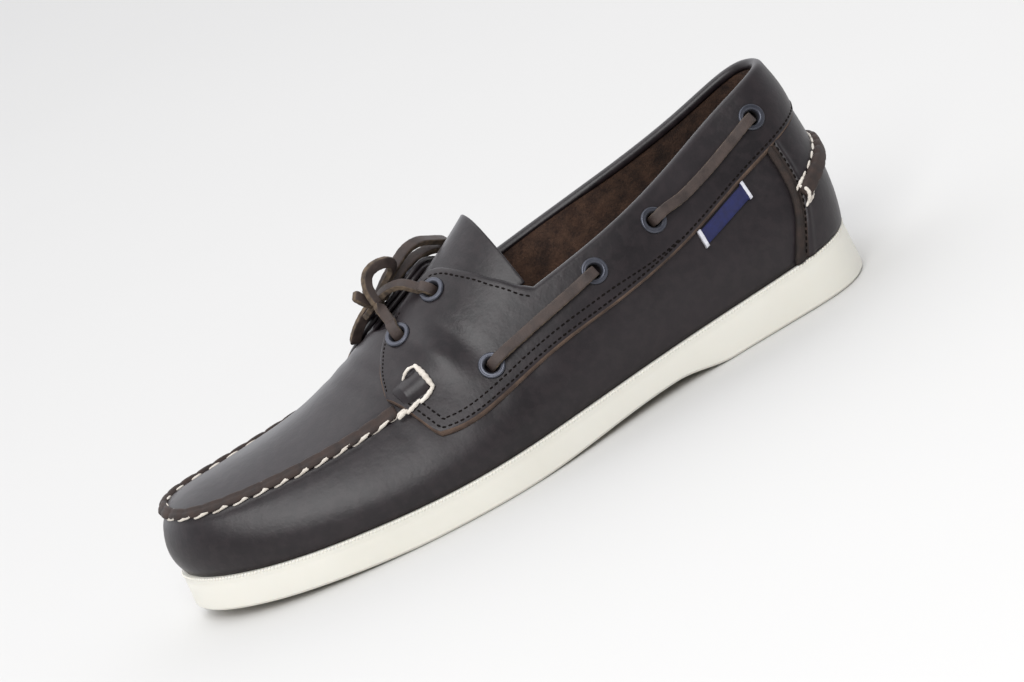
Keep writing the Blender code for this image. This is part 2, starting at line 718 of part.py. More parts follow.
def build_heel_seam(material, collection):
    """The raised hand-sewn roll that crosses the heel over the counter."""
    end = float(turn_of(HEEL_ROLL_END))
    distance = COUNTER_GAP + COUNTER_THICKNESS + HEEL_ROLL_RADIUS + 2.0 * CLEARANCE
    route = []
    for share in np.linspace(-1.0, 1.0, HEEL_ROLL_POINTS):
        side = LATERAL if share < 0.0 else MEDIAL
        turn = end * abs(share)
        low, high = HEEL_ROLL_HEIGHTS
        height = COLLAR_HEIGHT * (high + (low - high) * share * share)
        route.append(upper_offset(side, turn, level_at_height(side, turn, height), distance))
    return build_tube("heel_seam", route, HEEL_ROLL_RADIUS, HEEL_ROLL_SPACING, material, collection)


def eyelet_row(name):
    """Angle and level of an eyelet's middle."""
    row = next(entry for entry in EYELETS if entry[0] == name)
    return rim_turn(row[1] * OUTSOLE_LENGTH), row[2]


def eyelet_seat(side, name, height):
    """Point over an eyelet's middle at a height above the flat that it needs, and the way out."""
    turn, level = eyelet_row(name)
    distance = SADDLE_GAP + SADDLE_THICKNESS
    middle = upper_offset(side, turn, level, distance)
    outward = upper_normal(side, turn, level)
    steps = np.linspace(-1.0, 1.0, 9)
    turns, levels = np.meshgrid(turn + EYELET_FLAT[0] * steps, level + EYELET_FLAT[1] * steps)
    levels = np.clip(levels, 0.0, 1.0) if level < 1.0 else levels
    around = upper_offset(side, turns, levels, distance) - middle
    near = np.linalg.norm(around, axis=-1) < EYELET_MARGIN * (EYELET_RADIUS + EYELET_WIRE)
    return middle + outward * (height + float((around[near] @ outward).max())), outward


def build_eyelets(material, collection):
    """Rolled metal rings round the lace holes, six on each side."""
    for side in (LATERAL, MEDIAL):
        for name, _, _ in EYELETS:
            point, outward = eyelet_seat(side, name, 2.5 * CLEARANCE + EYELET_WIRE)
            bpy.ops.mesh.primitive_torus_add(
                major_segments=12, minor_segments=5, major_radius=EYELET_RADIUS, minor_radius=EYELET_WIRE)
            ring = bpy.context.active_object
            ring.name = f"eyelet_{side_name(side)}_{name}"
            ring.location = point
            ring.rotation_mode = "QUATERNION"
            ring.rotation_quaternion = Vector(outward).to_track_quat("Z", "Y")
            ring.data.shade_smooth()
            ring.data.materials.append(material)
            for holder in list(ring.users_collection):
                holder.objects.unlink(ring)
            collection.objects.link(ring)


def lace_exit(side, name, towards):
    """Points by which a lace leaves an eyelet and bends towards a point."""
    _, outward = eyelet_seat(side, name, 0.0)
    points = []
    for reach, lift in LACE_LIFT:
        seat, _ = eyelet_seat(side, name, lift)
        along = np.array(towards) - seat
        along -= outward * (along @ outward)
        points.append(seat + reach * along / np.linalg.norm(along))
    return points


def build_side_laces(material, collection):
    """The runs of lace outside the collar band, from one side eyelet to the next."""
    face = SADDLE_GAP + SADDLE_THICKNESS
    for side in (LATERAL, MEDIAL):
        for number, (front, rear) in enumerate(SIDE_LACES, start=1):
            start, end = (np.array(eyelet_row(name)) for name in (front, rear))
            length = np.linalg.norm(eyelet_seat(side, front, 0.0)[0] - eyelet_seat(side, rear, 0.0)[0])
            ends = [upper_offset(side, *spot, face) for spot in (start, end)]
            rests = [(reach / length, lift) for reach, lift in LACE_REST]
            shares = rests + [(0.5, LACE_REST[-1][1])] + [(1.0 - share, lift) for share, lift in rests[::-1]]
            middle = [upper_offset(side, *(start + (end - start) * share), face + lift) for share, lift in shares]
            route = lace_exit(side, front, ends[1]) + middle + lace_exit(side, rear, ends[0])[::-1]
            name = f"lace_{side_name(side)}_run_{number}"
            build_tube(name, route, LACE_RADIUS, SIDE_LACE_SPACING, material, collection)


def mesh_of_tube(tube, collection):
    """Turn a tube into a closed mesh object."""
    graph = bpy.context.evaluated_depsgraph_get()
    data = bpy.data.meshes.new_from_object(tube.evaluated_get(graph))
    mesh = bmesh.new()
    mesh.from_mesh(data)
    bmesh.ops.remove_doubles(mesh, verts=mesh.verts, dist=1e-6)
    mesh.to_mesh(data)
    mesh.free()
    solid = bpy.data.objects.new(tube.name + "_solid", data)
    solid.matrix_world = tube.matrix_world
    collection.objects.link(solid)
    bpy.data.objects.remove(tube, do_unlink=True)
    return solid


def build_lace_crossing(material, collection, cutters):
    """The two strands from the throat's eyelets that cross and join under the knot."""
    strands = []
    for side in (LATERAL, MEDIAL):
        leaving = lace_exit(side, "throat_front", CROSSING)
        entering = lace_exit(-side, "throat_rear", CROSSING)[::-1]
        route = leaving + [np.array(CROSSING)] + entering
        name = f"strand_{side_name(side)}"
        strand = build_tube(name, route, LACE_RADIUS, LACE_SPACING, material, collection)
        bpy.context.view_layer.update()
        strands.append(mesh_of_tube(strand, collection))
    crossing, other = strands
    crossing.name = "lace_crossing"
    join = crossing.modifiers.new("Join", "BOOLEAN")
    join.operation = "UNION"
    join.object = other
    other.hide_render = True
    other.display_type = "WIRE"
    collection.objects.unlink(other)
    cutters.objects.link(other)
    return crossing


def knot_middle():
    """Middle of the knot, which lies on the crossing."""
    return (*KNOT_PLACE, CROSSING[2] + LACE_RADIUS + KNOT_GAP + KNOT_SIZE[2])


def knot_spot(turn, rise):
    """Point just off the knot's surface, at a turn round it and a rise over its waist in degrees."""
    turn, rise = math.radians(turn), math.radians(rise)
    middle = np.array(knot_middle())
    way = np.array([math.cos(turn) * math.cos(rise), math.sin(turn) * math.cos(rise), math.sin(rise)])
    skin = way * KNOT_SIZE
    return middle + skin * (1.0 + KNOT_GAP / np.linalg.norm(skin))


def build_bow(material, collection):
    """The knot and the free loops and ends of the bow."""
    bpy.ops.mesh.primitive_uv_sphere_add(segments=12, ring_count=8, radius=1.0, location=(0.0, 0.0, 0.0))
    knot = bpy.context.active_object
    knot.name = "bow_knot"
    for vertex in knot.data.vertices:
        vertex.co = [part * size for part, size in zip(vertex.co, KNOT_SIZE)]
    knot.location = knot_middle()
    knot.data.shade_smooth()
    knot.data.materials.append(material)
    for holder in list(knot.users_collection):
        holder.objects.unlink(knot)
    collection.objects.link(knot)
    for name, (start, points, end) in BOW_CORDS.items():
        route = [knot_spot(*start), *points]
        if end is not None:
            route.append(knot_spot(*end))
        build_tube(name, route, LACE_RADIUS, LACE_SPACING, material, collection)


def build_label(material, collection):
    """The small woven tab sewn under the lateral band's lower edge."""
    grid = []
    for place in np.linspace(*LABEL_PLACES, 6):
        turn = float(rim_turn(place * OUTSOLE_LENGTH))
        top = saddle_edge_height(place) - 2.0 * CLEARANCE
        levels = [level_at_height(LATERAL, turn, height) for height in np.linspace(top - LABEL_WIDTH, top, 3)]
        grid.append(upper_offset(LATERAL, turn, np.array(levels), 2.0 * CLEARANCE))
    label = mesh_from_grids("side_label", [np.array(grid)], material, collection)
    point_outwards(label, middle_of_shoe())
    thicken(label, LABEL_THICKNESS, outwards=True)
    return label


def centre_over_origin(shoe, cutters):
    """Move the whole shoe so that its box is centred over the origin."""
    bpy.context.view_layer.update()
    graph = bpy.context.evaluated_depsgraph_get()
    corners = []
    for part in shoe.objects:
        ready = part.evaluated_get(graph)
        data = bpy.data.meshes.new_from_object(ready)
        points = np.array([ready.matrix_world @ vertex.co for vertex in data.vertices])
        corners.extend([points.min(axis=0), points.max(axis=0)])
        bpy.data.meshes.remove(data)
    middle = 0.5 * (np.min(corners, axis=0) + np.max(corners, axis=0))
    for part in list(shoe.objects) + list(cutters.objects):
        part.location -= Vector((middle[0], middle[1], 0.0))


def clear_scene():
    """Remove every object of the scene."""
    for item in list(bpy.data.objects):
        bpy.data.objects.remove(item, do_unlink=True)


def main():
    """Build the shoe."""
    clear_scene()
    shoe = bpy.data.collections.new("boat_shoe")
    bpy.context.scene.collection.children.link(shoe)
    leather = make_material("dark_brown_leather", COLOURS["leather"], 0.45)
    rubber = make_material("ivory_rubber", COLOURS["rubber"], 0.6)
    cutters = bpy.data.collections.new("cutters")
    bpy.context.scene.collection.children.link(cutters)
    lining = make_material("brown_lining", COLOURS["lining"], 0.9)
    lace = make_material("rawhide_lace", COLOURS["lace"], 0.6)
    eyelet = make_material("dark_eyelet", COLOURS["eyelet"], 0.35, 0.9)
    woven = make_material("navy_tab", COLOURS["label"], 0.85)
    build_outsole(rubber, shoe)
    build_insole(lining, shoe)
    build_upper(leather, shoe)
    build_tongue(leather, shoe)
    build_saddle(leather, shoe)
    build_counter(leather, shoe)
    build_moc_seam(leather, shoe)
    build_heel_seam(leather, shoe)
    build_eyelets(eyelet, shoe)
    build_side_laces(lace, shoe)
    build_lace_crossing(lace, shoe, cutters)
    build_bow(lace, shoe)
    build_label(woven, shoe)
    centre_over_origin(shoe, cutters)


main()
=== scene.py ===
"""Looks of the left boat shoe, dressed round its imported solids.

The toe points along -X, the heel along +X, and the lateral side is -Y. Shapes are worked out in the last's
own place, with the outsole's length centred on X = 0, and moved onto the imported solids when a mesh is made.
"""

from __future__ import annotations

import logging
import math
from dataclasses import asdict, dataclass, field
from enum import Enum
from typing import Iterable, Sequence

import bmesh
import bpy
import numpy as np
from mathutils import Matrix, Vector
from mathutils.bvhtree import BVHTree

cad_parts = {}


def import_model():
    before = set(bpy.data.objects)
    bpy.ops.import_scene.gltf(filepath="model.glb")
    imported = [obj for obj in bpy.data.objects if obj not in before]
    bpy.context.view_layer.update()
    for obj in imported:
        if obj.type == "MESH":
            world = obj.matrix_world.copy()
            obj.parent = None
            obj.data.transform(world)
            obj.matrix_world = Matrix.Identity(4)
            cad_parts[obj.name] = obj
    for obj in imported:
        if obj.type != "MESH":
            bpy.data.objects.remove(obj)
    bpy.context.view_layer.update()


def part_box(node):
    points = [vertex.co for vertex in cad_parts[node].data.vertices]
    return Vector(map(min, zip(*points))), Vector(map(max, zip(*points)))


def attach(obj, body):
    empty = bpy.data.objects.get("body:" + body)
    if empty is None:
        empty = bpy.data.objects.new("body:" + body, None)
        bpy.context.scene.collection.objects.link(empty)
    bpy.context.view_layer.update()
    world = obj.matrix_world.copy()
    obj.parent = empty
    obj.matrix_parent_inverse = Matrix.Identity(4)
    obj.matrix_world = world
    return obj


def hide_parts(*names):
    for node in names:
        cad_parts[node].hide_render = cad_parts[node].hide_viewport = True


LOG = logging.getLogger("boat_shoe")
TINY = 1e-4
SKIN = 0.0001
MERGE = 2e-6
INSIDE = (0.0, 0.0, 0.03)
UP = np.array([0.0, 0.0, 1.0])
Array = np.ndarray
Piece = bpy.types.Object
Body = tuple[Array, list[tuple]]


class Slot(Enum):
    """Material slots of the record."""

    SOLE = "sole_rubber"
    LEATHER = "leather"
    LINING = "lining"
    LACE = "lace_leather"
    METAL = "eyelet_metal"
    TAB = "woven_tab"


class Side(Enum):
    """Sides of the shoe, by the sign of Y."""

    LATERAL = -1
    MEDIAL = 1


def unit(vectors: Array) -> Array:
    """Vectors brought to length one."""
    return vectors / np.maximum(np.linalg.norm(vectors, axis=-1, keepdims=True), 1e-12)


def wrap(turn: Array) -> Array:
    """Signed turn brought back between minus pi and pi."""
    return (np.asarray(turn, dtype=float) + math.pi) % (2.0 * math.pi) - math.pi


def smooth_step(value: Array, start: float, end: float) -> Array:
    """0 before start, 1 after end and a soft ramp between them."""
    share = np.clip((np.asarray(value, dtype=float) - start) / (end - start), 0.0, 1.0)
    return share * share * (3.0 - 2.0 * share)


def bump(value: Array, middle: float, width: float) -> Array:
    """A soft hill of height one round a middle."""
    return np.exp(-(((np.asarray(value, dtype=float) - middle) / width) ** 2))


def soft_table(rows: Sequence[Sequence[float]], place: Array, width: float) -> Array:
    """Value of a table at places, with its corners rounded off.

    Args:
        rows: Pairs of place and value.
        place: Where to read it.
        width: Half the length over which a corner is rounded.

    Returns:
        The values at the places.
    """
    stops = [row[0] for row in rows]
    values = [row[1] for row in rows]
    shifts = np.linspace(-width, width, 9)
    return np.mean([np.interp(np.asarray(place) + shift, stops, values) for shift in shifts], axis=0)


class Spline:
    """A function through knots with smooth slope and curvature."""

    def __init__(self, knots: Sequence[float], values: Sequence[float]) -> None:
        """Solve for the bend at each knot.

        Args:
            knots: Rising positions.
            values: Value at each of them.
        """
        self.knots = np.asarray(knots, dtype=float)
        self.values = np.asarray(values, dtype=float)
        self.steps = np.diff(self.knots)
        count = len(self.knots)
        system = np.eye(count)
        right = np.zeros(count)
        slopes = np.diff(self.values) / self.steps
        for i in range(1, count - 1):
            before, after = self.steps[i - 1], self.steps[i]
            system[i, i - 1:i + 2] = before, 2.0 * (before + after), after
            right[i] = 6.0 * (slopes[i] - slopes[i - 1])
        self.bend = np.linalg.solve(system, right)

    def __call__(self, position: Array) -> Array:
        """Read the function.

        Args:
            position: One position or an array of them.

        Returns:
            The value at each.
        """
        position = np.asarray(position, dtype=float)
        index = np.clip(np.searchsorted(self.knots, position) - 1, 0, len(self.steps) - 1)
        step = self.steps[index]
        before = (self.knots[index + 1] - position) / step
        after = (position - self.knots[index]) / step
        curve = (before ** 3 - before) * self.bend[index] + (after ** 3 - after) * self.bend[index + 1]
        return before * self.values[index] + after * self.values[index + 1] + curve * step ** 2 / 6.0


SECTION_COLUMNS = ("along", "outline_lateral", "outline_medial", "top",
                   "rim_lateral", "rim_medial", "rise", "dome", "lean", "bulge")
SECTIONS = (
    (0.00, 0.000, 0.000, 1.140, 0.000, 0.000, 1.000, 1.900, 10.0, 0.058),
    (0.02, 0.214, 0.228, 1.118, 0.100, 0.099, 0.984, 1.900, 14.0, 0.052),
    (0.06, 0.310, 0.310, 1.066, 0.134, 0.131, 0.918, 1.850, 18.0, 0.040),
    (0.12, 0.343, 0.333, 1.000, 0.162, 0.157, 0.805, 1.750, 20.0, 0.032),
    (0.20, 0.360, 0.318, 0.939, 0.227, 0.220, 0.662, 1.600, 22.0, 0.028),
    (0.30, 0.392, 0.276, 0.878, 0.298, 0.288, 0.524, 1.400, 24.0, 0.026),
    (0.40, 0.438, 0.305, 0.817, 0.327, 0.315, 0.418, 1.130, 28.0, 0.026),
    (0.50, 0.493, 0.407, 0.761, 0.330, 0.318, 0.310, 0.778, 31.0, 0.028),
    (0.60, 0.526, 0.470, 0.722, 0.336, 0.324, 0.156, 0.586, 39.0, 0.030),
    (0.68, 0.517, 0.462, 0.722, 0.333, 0.320, 0.046, 0.454, 44.0, 0.030),
    (0.76, 0.480, 0.430, 0.761, 0.317, 0.303, 0.000, 0.276, 46.0, 0.030),
    (0.84, 0.421, 0.376, 0.828, 0.289, 0.275, -0.010, 0.189, 46.0, 0.031),
    (0.91, 0.339, 0.300, 0.922, 0.248, 0.234, 0.000, 0.135, 44.0, 0.032),
    (0.96, 0.237, 0.190, 1.011, 0.198, 0.184, 0.018, 0.092, 40.0, 0.038),
    (0.99, 0.124, 0.086, 1.072, 0.119, 0.110, 0.030, 0.032, 37.0, 0.042),
    (1.00, 0.000, 0.000, 1.094, 0.000, 0.000, 0.034, 0.000, 35.0, 0.044),
)


def travelled(points: Array) -> Array:
    """Length along a line of points up to each of them."""
    return np.concatenate([[0.0], np.cumsum(np.linalg.norm(np.diff(points, axis=0), axis=1))])


def section_splines() -> dict[str, Spline]:
    """Read the section table.

    Returns:
        One spline round the shoe for each column.
    """
    table = np.array(SECTIONS)
    turns = np.arccos(np.clip(1.0 - 2.0 * table[:, 0], -1.0, 1.0))
    return {name: Spline(turns, table[:, i]) for i, name in enumerate(SECTION_COLUMNS) if i}


@dataclass(frozen=True)
class Last:
    """The last's surface in the part's own sizes.

    A signed turn goes round the shoe: 0 at the heel's back, negative on the lateral side, positive on the
    medial side, and minus or plus pi at the toe's tip. A level goes up it: 0 at the sole, 1 at the rim
    or the moccasin seam, 2 at the crest.
    """

    length: float = 0.290
    ball: float = 0.105
    sole_height: float = 0.0180
    arch_rise: float = 0.0037
    toe_spring: float = 0.0055
    collar_height: float = 0.0865
    seam_height: float = 0.0430
    instep_height: float = 0.0800
    collar_back_inset: float = 0.0045
    seam_toe_inset: float = 0.0055
    feather_inset: float = 0.0022
    clearance: float = 0.0003
    heel_front: float = 0.240
    ramp_top: float = 0.325
    ball_back: float = 0.575
    spring_start: float = 0.700
    spring_power: float = 1.6
    foot_pull: float = 0.35
    rim_pull: float = 0.38
    wall_ease: float = 0.0070
    crown_start: tuple[float, float] = (0.25, 0.50)
    crown_end: float = 0.35
    splines: dict[str, Spline] = field(default_factory=section_splines)

    def along(self, x: Array) -> Array:
        """Share of the length from the heel's back at a place along X."""
        return np.clip(0.5 - np.asarray(x, dtype=float) / self.length, 0.0, 1.0)

    @property
    def rim_ends(self) -> tuple[float, float]:
        """The rim's back and front along X."""
        return 0.5 * self.length - self.collar_back_inset, self.seam_toe_inset - 0.5 * self.length

    def sole_top(self, x: Array) -> Array:
        """Height of the sole's upper face at a place along X."""
        return self.sole_height * self.splines["top"](np.arccos(1.0 - 2.0 * self.along(x)))

    def sole_bottom(self, x: Array) -> Array:
        """Height of the sole's underside at a place along X.

        Args:
            x: Places along X.

        Returns:
            The height at each place.
        """
        along = self.along(x)
        arch = smooth_step(along, self.heel_front, self.ramp_top)
        arch = arch * (1.0 - smooth_step(along, self.ramp_top, self.ball_back))
        spring = np.clip((along - self.spring_start) / (1.0 - self.spring_start), 0.0, 1.0)
        return self.arch_rise * arch + self.toe_spring * spring ** self.spring_power

    def side_value(self, name: str, turn: Array) -> Array:
        """Signed value of a column that differs between the sides, as a share of the ball's width.

        Args:
            name: Name of the column without its side.
            turn: Signed turns.

        Returns:
            The value at each turn.
        """
        lateral = -self.splines[name + "_lateral"](np.abs(turn))
        medial = self.splines[name + "_medial"](np.abs(turn))
        return np.where(turn < 0.0, lateral, medial)

    def outline(self, turn: Array, inset: float = 0.0) -> tuple[Array, Array]:
        """Plan points of the sole's outline moved inwards by an inset.

        Args:
            turn: Signed turns.
            inset: Distance inside the outline.

        Returns:
            The plan points and the plan directions that point outwards.
        """
        def place(angle: Array) -> Array:
            """Plan points on the outline itself."""
            angle = wrap(angle)
            x = 0.5 * self.length * np.cos(angle)
            return np.stack([x, self.ball * self.side_value("outline", angle)], axis=-1)

        tangent = place(turn + TINY) - place(turn - TINY)
        outward = unit(np.stack([tangent[..., 1], -tangent[..., 0]], axis=-1))
        return place(turn) - outward * inset, outward

    def rim(self, turn: Array) -> Array:
        """Points of the collar's rim, or of the moccasin seam in front of it.

        Args:
            turn: Signed turns.

        Returns:
            The points.
        """
        turn = wrap(turn)
        back, front = self.rim_ends
        x = back + (front - back) * (0.5 - 0.5 * np.cos(turn))
        rise = self.splines["rise"](np.abs(turn))
        z = self.seam_height + (self.collar_height - self.seam_height) * rise
        return np.stack([x, self.ball * self.side_value("rim", turn), z], axis=-1)

    def turn_at(self, place: Array, side: Side = Side.MEDIAL) -> Array:
        """Signed turn at which the rim passes a place, given as a share of the length from the middle.

        Args:
            place: The place, or an array of them.
            side: Side of the shoe.

        Returns:
            The turn at each place.
        """
        back, front = self.rim_ends
        share = (back - np.asarray(place, dtype=float) * self.length) / (back - front)
        return side.value * np.arccos(np.clip(1.0 - 2.0 * share, -1.0, 1.0))

    def place_at(self, turn: Array) -> Array:
        """Place of the rim along the shoe, as a share of the length from the middle."""
        return self.rim(turn)[..., 0] / self.length

    def point(self, turn: Array, level: Array) -> Array:
        """Points on the outside of the upper.

        Args:
            turn: Signed turns.
            level: Levels, of the same shape or one that broadcasts.

        Returns:
            Points in the last's own place.
        """
        turn, level = np.broadcast_arrays(np.asarray(turn, dtype=float), np.asarray(level, dtype=float))
        turn = wrap(turn)
        foot, outward = self.outline(turn, self.feather_inset)
        foot = np.concatenate([foot, (self.sole_top(foot[..., 0]) + self.clearance)[..., None]], axis=-1)
        outward = np.concatenate([outward, np.zeros_like(turn)[..., None]], axis=-1)
        rim = self.rim(turn)
        height = (rim[..., 2] - foot[..., 2])[..., None]
        apart = (foot - rim) * np.array([1.0, 1.0, 0.0])
        ease = self.wall_ease * np.clip(np.sin(turn * Side.MEDIAL.value), 0.0, 1.0)[..., None]
        apart = apart / np.sqrt(np.sum(apart ** 2, axis=-1, keepdims=True) + ease ** 2 + 1e-12)
        lean = np.radians(self.splines["lean"](np.abs(turn)))[..., None]
        swell = self.ball * self.splines["bulge"](np.abs(turn))[..., None]
        low = foot + outward * swell + UP * height * self.foot_pull
        high = rim + (apart * np.sin(lean) - UP * np.cos(lean)) * height * self.rim_pull
        share = np.clip(level, 0.0, 1.0)[..., None]
        wall = self.bezier(foot, low, high, rim, share)
        inwards = rim * np.array([0.0, -1.0, 0.0])
        dome = (self.instep_height - self.seam_height) * self.splines["dome"](np.abs(turn))[..., None]
        crest = rim + inwards + UP * dome
        shoulder = rim + inwards * self.crown_start[0] + UP * dome * self.crown_start[1]
        share = np.clip(level - 1.0, 0.0, 1.0)[..., None]
        crown = self.bezier(rim, shoulder, crest - inwards * self.crown_end, crest, share)
        return np.where((level <= 1.0)[..., None], wall, crown)

    @staticmethod
    def bezier(a: Array, b: Array, c: Array, d: Array, share: Array) -> Array:
        """Point of a cubic curve with four control points."""
        rest = 1.0 - share
        return a * rest ** 3 + 3.0 * b * rest ** 2 * share + 3.0 * c * rest * share ** 2 + d * share ** 3

    def normal(self, turn: Array, level: Array) -> Array:
        """Directions that point out of the upper.

        Args:
            turn: Signed turns.
            level: Levels.

        Returns:
            Directions of length one.
        """
        tiny = 1e-3
        turn, level = np.broadcast_arrays(np.asarray(turn, dtype=float), np.asarray(level, dtype=float))
        low = np.where(level > 1.0, np.maximum(level - tiny, 1.0 + 1e-9), level - tiny)
        high = np.where(level > 1.0, level + tiny, np.minimum(level + tiny, 1.0))
        rise = self.point(turn, np.clip(high, 0.0, 2.0)) - self.point(turn, np.clip(low, 0.0, 2.0))
        run = self.point(turn + tiny, level) - self.point(turn - tiny, level)
        return unit(np.cross(run, rise))

    def offset(self, turn: Array, level: Array, distance: Array) -> Array:
        """Points at a distance outside the upper's face."""
        distance = np.asarray(distance, dtype=float)[..., None]
        return self.point(turn, level) + self.normal(turn, level) * distance

    def level_at_width(self, turn: Array, half_width: Array) -> Array:
        """Levels over the rim at which the upper comes in to a half width.

        Args:
            turn: Signed turns.
            half_width: The half width, or one for each turn.

        Returns:
            The level at each turn.
        """
        grid = np.linspace(1.0, 2.0, 161)
        return self.level_where(-np.abs(self.point(turn[:, None], grid)[..., 1]), grid, -np.asarray(half_width))

    def level_at_height(self, turn: Array, height: Array) -> Array:
        """Levels at which the upper passes a height.

        Args:
            turn: Signed turns.
            height: The height, or one for each turn.

        Returns:
            The level at each turn.
        """
        grid = np.linspace(0.0, 2.0, 401)
        return self.level_where(self.point(turn[:, None], grid)[..., 2], grid, height)

    @staticmethod
    def level_where(rows: Array, grid: Array, wanted: Array) -> Array:
        """Level at which each row of rising values passes the wanted one."""
        wanted = np.broadcast_to(wanted, len(rows))
        return np.array([np.interp(value, row, grid) for value, row in zip(wanted, rows)])

    def climb(self, turn: Array, level: Array, distance: float) -> Array:
        """Levels that lie a distance higher up the surface.

        Args:
            turn: Signed turns.
            level: Levels to start from.
            distance: Distance up the surface.

        Returns:
            The level at each turn.
        """
        tiny = 0.01
        low = np.clip(level - tiny, 0.0, 2.0 - 2.0 * tiny)
        steep = np.linalg.norm(self.point(turn, low + tiny) - self.point(turn, low), axis=-1) / tiny
        return level + distance / np.maximum(steep, 1e-4)

    def even_turns(self, start: float, end: float, spacing: float, level: float = 1.0) -> Array:
        """Turns that lie evenly along the surface at a level, from a start to an end.

        Args:
            start: First turn.
            end: Last turn; it may lie past pi, where the other side goes on.
            spacing: Wanted distance between neighbours.
            level: Level at which the distance is measured.

        Returns:
            Turns, not wrapped.
        """
        fine = np.linspace(start, end, 1500)
        lengths = travelled(self.point(fine, np.full_like(fine, level)))
        count = max(4, int(round(lengths[-1] / spacing)) + 1)
        return np.interp(np.linspace(0.0, lengths[-1], count), lengths, fine)


def put_in_scene(name: str, data: bpy.types.ID) -> Piece:
    """Make a scene object for a mesh, a lamp or a camera.

    Args:
        name: Name of the object.
        data: What it holds.

    Returns:
        The object.
    """
    thing = bpy.data.objects.new(name, data)
    bpy.context.scene.collection.objects.link(thing)
    return thing


class NodeBench:
    """Short ways to add and join the nodes of one tree."""

    def __init__(self, tree: bpy.types.NodeTree) -> None:
        """Keep the tree."""
        self.tree = tree

    def add(self, kind: str, inputs: dict | None = None, **settings: object) -> bpy.types.Node:
        """A new node.

        Args:
            kind: The node's type.
            inputs: For each input's name or number, a value or another node's output.
            settings: Properties of the node itself.

        Returns:
            The node.
        """
        node = self.tree.nodes.new(kind)
        for name, value in settings.items():
            setattr(node, name, value)
        for key, value in (inputs or {}).items():
            if isinstance(value, bpy.types.NodeSocket):
                self.join(value, node.inputs[key])
            else:
                node.inputs[key].default_value = value
        return node

    def join(self, source: bpy.types.NodeSocket, target: bpy.types.NodeSocket) -> None:
        """Link one socket to another."""
        self.tree.links.new(source, target)

    def math(self, operation: str, *values: object) -> bpy.types.NodeSocket:
        """Result of a Math node."""
        return self.add("ShaderNodeMath", dict(enumerate(values)), operation=operation).outputs[0]

    def mix(self, share: object, first: object, second: object) -> bpy.types.NodeSocket:
        """Colour between two colours."""
        return self.add("ShaderNodeMix", {0: share, 6: first, 7: second}, data_type="RGBA").outputs[2]

    def ramp(self, value: bpy.types.NodeSocket, low: float, high: float,
             bottom: float = 0.0, top: float = 1.0) -> bpy.types.NodeSocket:
        """A value's range spread over another range, held at both ends."""
        inputs = {"Value": value, "From Min": low, "From Max": high, "To Min": bottom, "To Max": top}
        return self.add("ShaderNodeMapRange", inputs).outputs[0]


def shade_group(name: str, inputs: Sequence[tuple], outputs: Sequence[str]) -> tuple:
    """A shader node group with number sockets.

    Args:
        name: Name of the group.
        inputs: Name and value of each input.
        outputs: Name of each output.

    Returns:
        Its bench, its input sockets, its output node and the object coordinates.
    """
    tree = bpy.data.node_groups.new(name, "ShaderNodeTree")
    for label, value in inputs:
        tree.interface.new_socket(label, in_out="INPUT", socket_type="NodeSocketFloat").default_value = value
    for label in outputs:
        tree.interface.new_socket(label, in_out="OUTPUT", socket_type="NodeSocketFloat")
    bench = NodeBench(tree)
    given, sink = bench.add("NodeGroupInput").outputs, bench.add("NodeGroupOutput")
    return bench, given, sink, bench.add("ShaderNodeTexCoord").outputs["Object"]


def leather_grain_group() -> None:
    """Pores and fine wrinkles of smooth leather: a height and a mask of its creases."""
    bench, given, sink, spot = shade_group(
        "leather_grain", (("Pores", 900.0), ("Wrinkles", 260.0)), ("Height", "Creases"))
    pores = bench.add("ShaderNodeTexVoronoi", {"Vector": spot, "Scale": given[0]})
    fine = bench.add("ShaderNodeTexNoise", {"Vector": spot, "Scale": given[0], "Detail": 3.0})
    folds = bench.add("ShaderNodeTexNoise", {"Vector": spot, "Scale": given[1], "Detail": 4.0})
    creases = bench.ramp(folds.outputs[0], 0.42, 0.62)
    height = bench.math("MULTIPLY_ADD", pores.outputs[0], 0.5, bench.math("MULTIPLY", fine.outputs[0], 0.5))
    bench.join(bench.math("MULTIPLY_ADD", creases, 0.8, height), sink.inputs[0])
    bench.join(creases, sink.inputs[1])


def mottle_group() -> None:
    """Slow clouds of colour, as oiled leather and handled rubber have."""
    bench, given, sink, spot = shade_group("mottle", (("Size", 30.0), ("Spread", 0.5)), ("Mask",))
    cloud = bench.add("ShaderNodeTexNoise", {
        "Vector": spot, "Scale": given[0], "Detail": 5.0, "Roughness": given[1]})
    bench.join(bench.ramp(cloud.outputs[0], 0.32, 0.68), sink.inputs[0])


def nap_group() -> None:
    """The short fibres of suede, raw leather edges and rawhide: a height and a mask."""
    bench, given, sink, spot = shade_group("nap", (("Fibres", 1500.0),), ("Height", "Mask"))
    fibre = bench.add("ShaderNodeTexNoise", {
        "Vector": spot, "Scale": given[0], "Detail": 2.0, "Distortion": 1.5})
    tuft = bench.add("ShaderNodeTexNoise", {
        "Vector": spot, "Scale": bench.math("MULTIPLY", given[0], 0.22), "Detail": 3.0})
    both = bench.math("MULTIPLY_ADD", tuft.outputs[0], 0.6, bench.math("MULTIPLY", fibre.outputs[0], 0.4))
    bench.join(both, sink.inputs[0])
    bench.join(bench.ramp(both, 0.38, 0.62), sink.inputs[1])


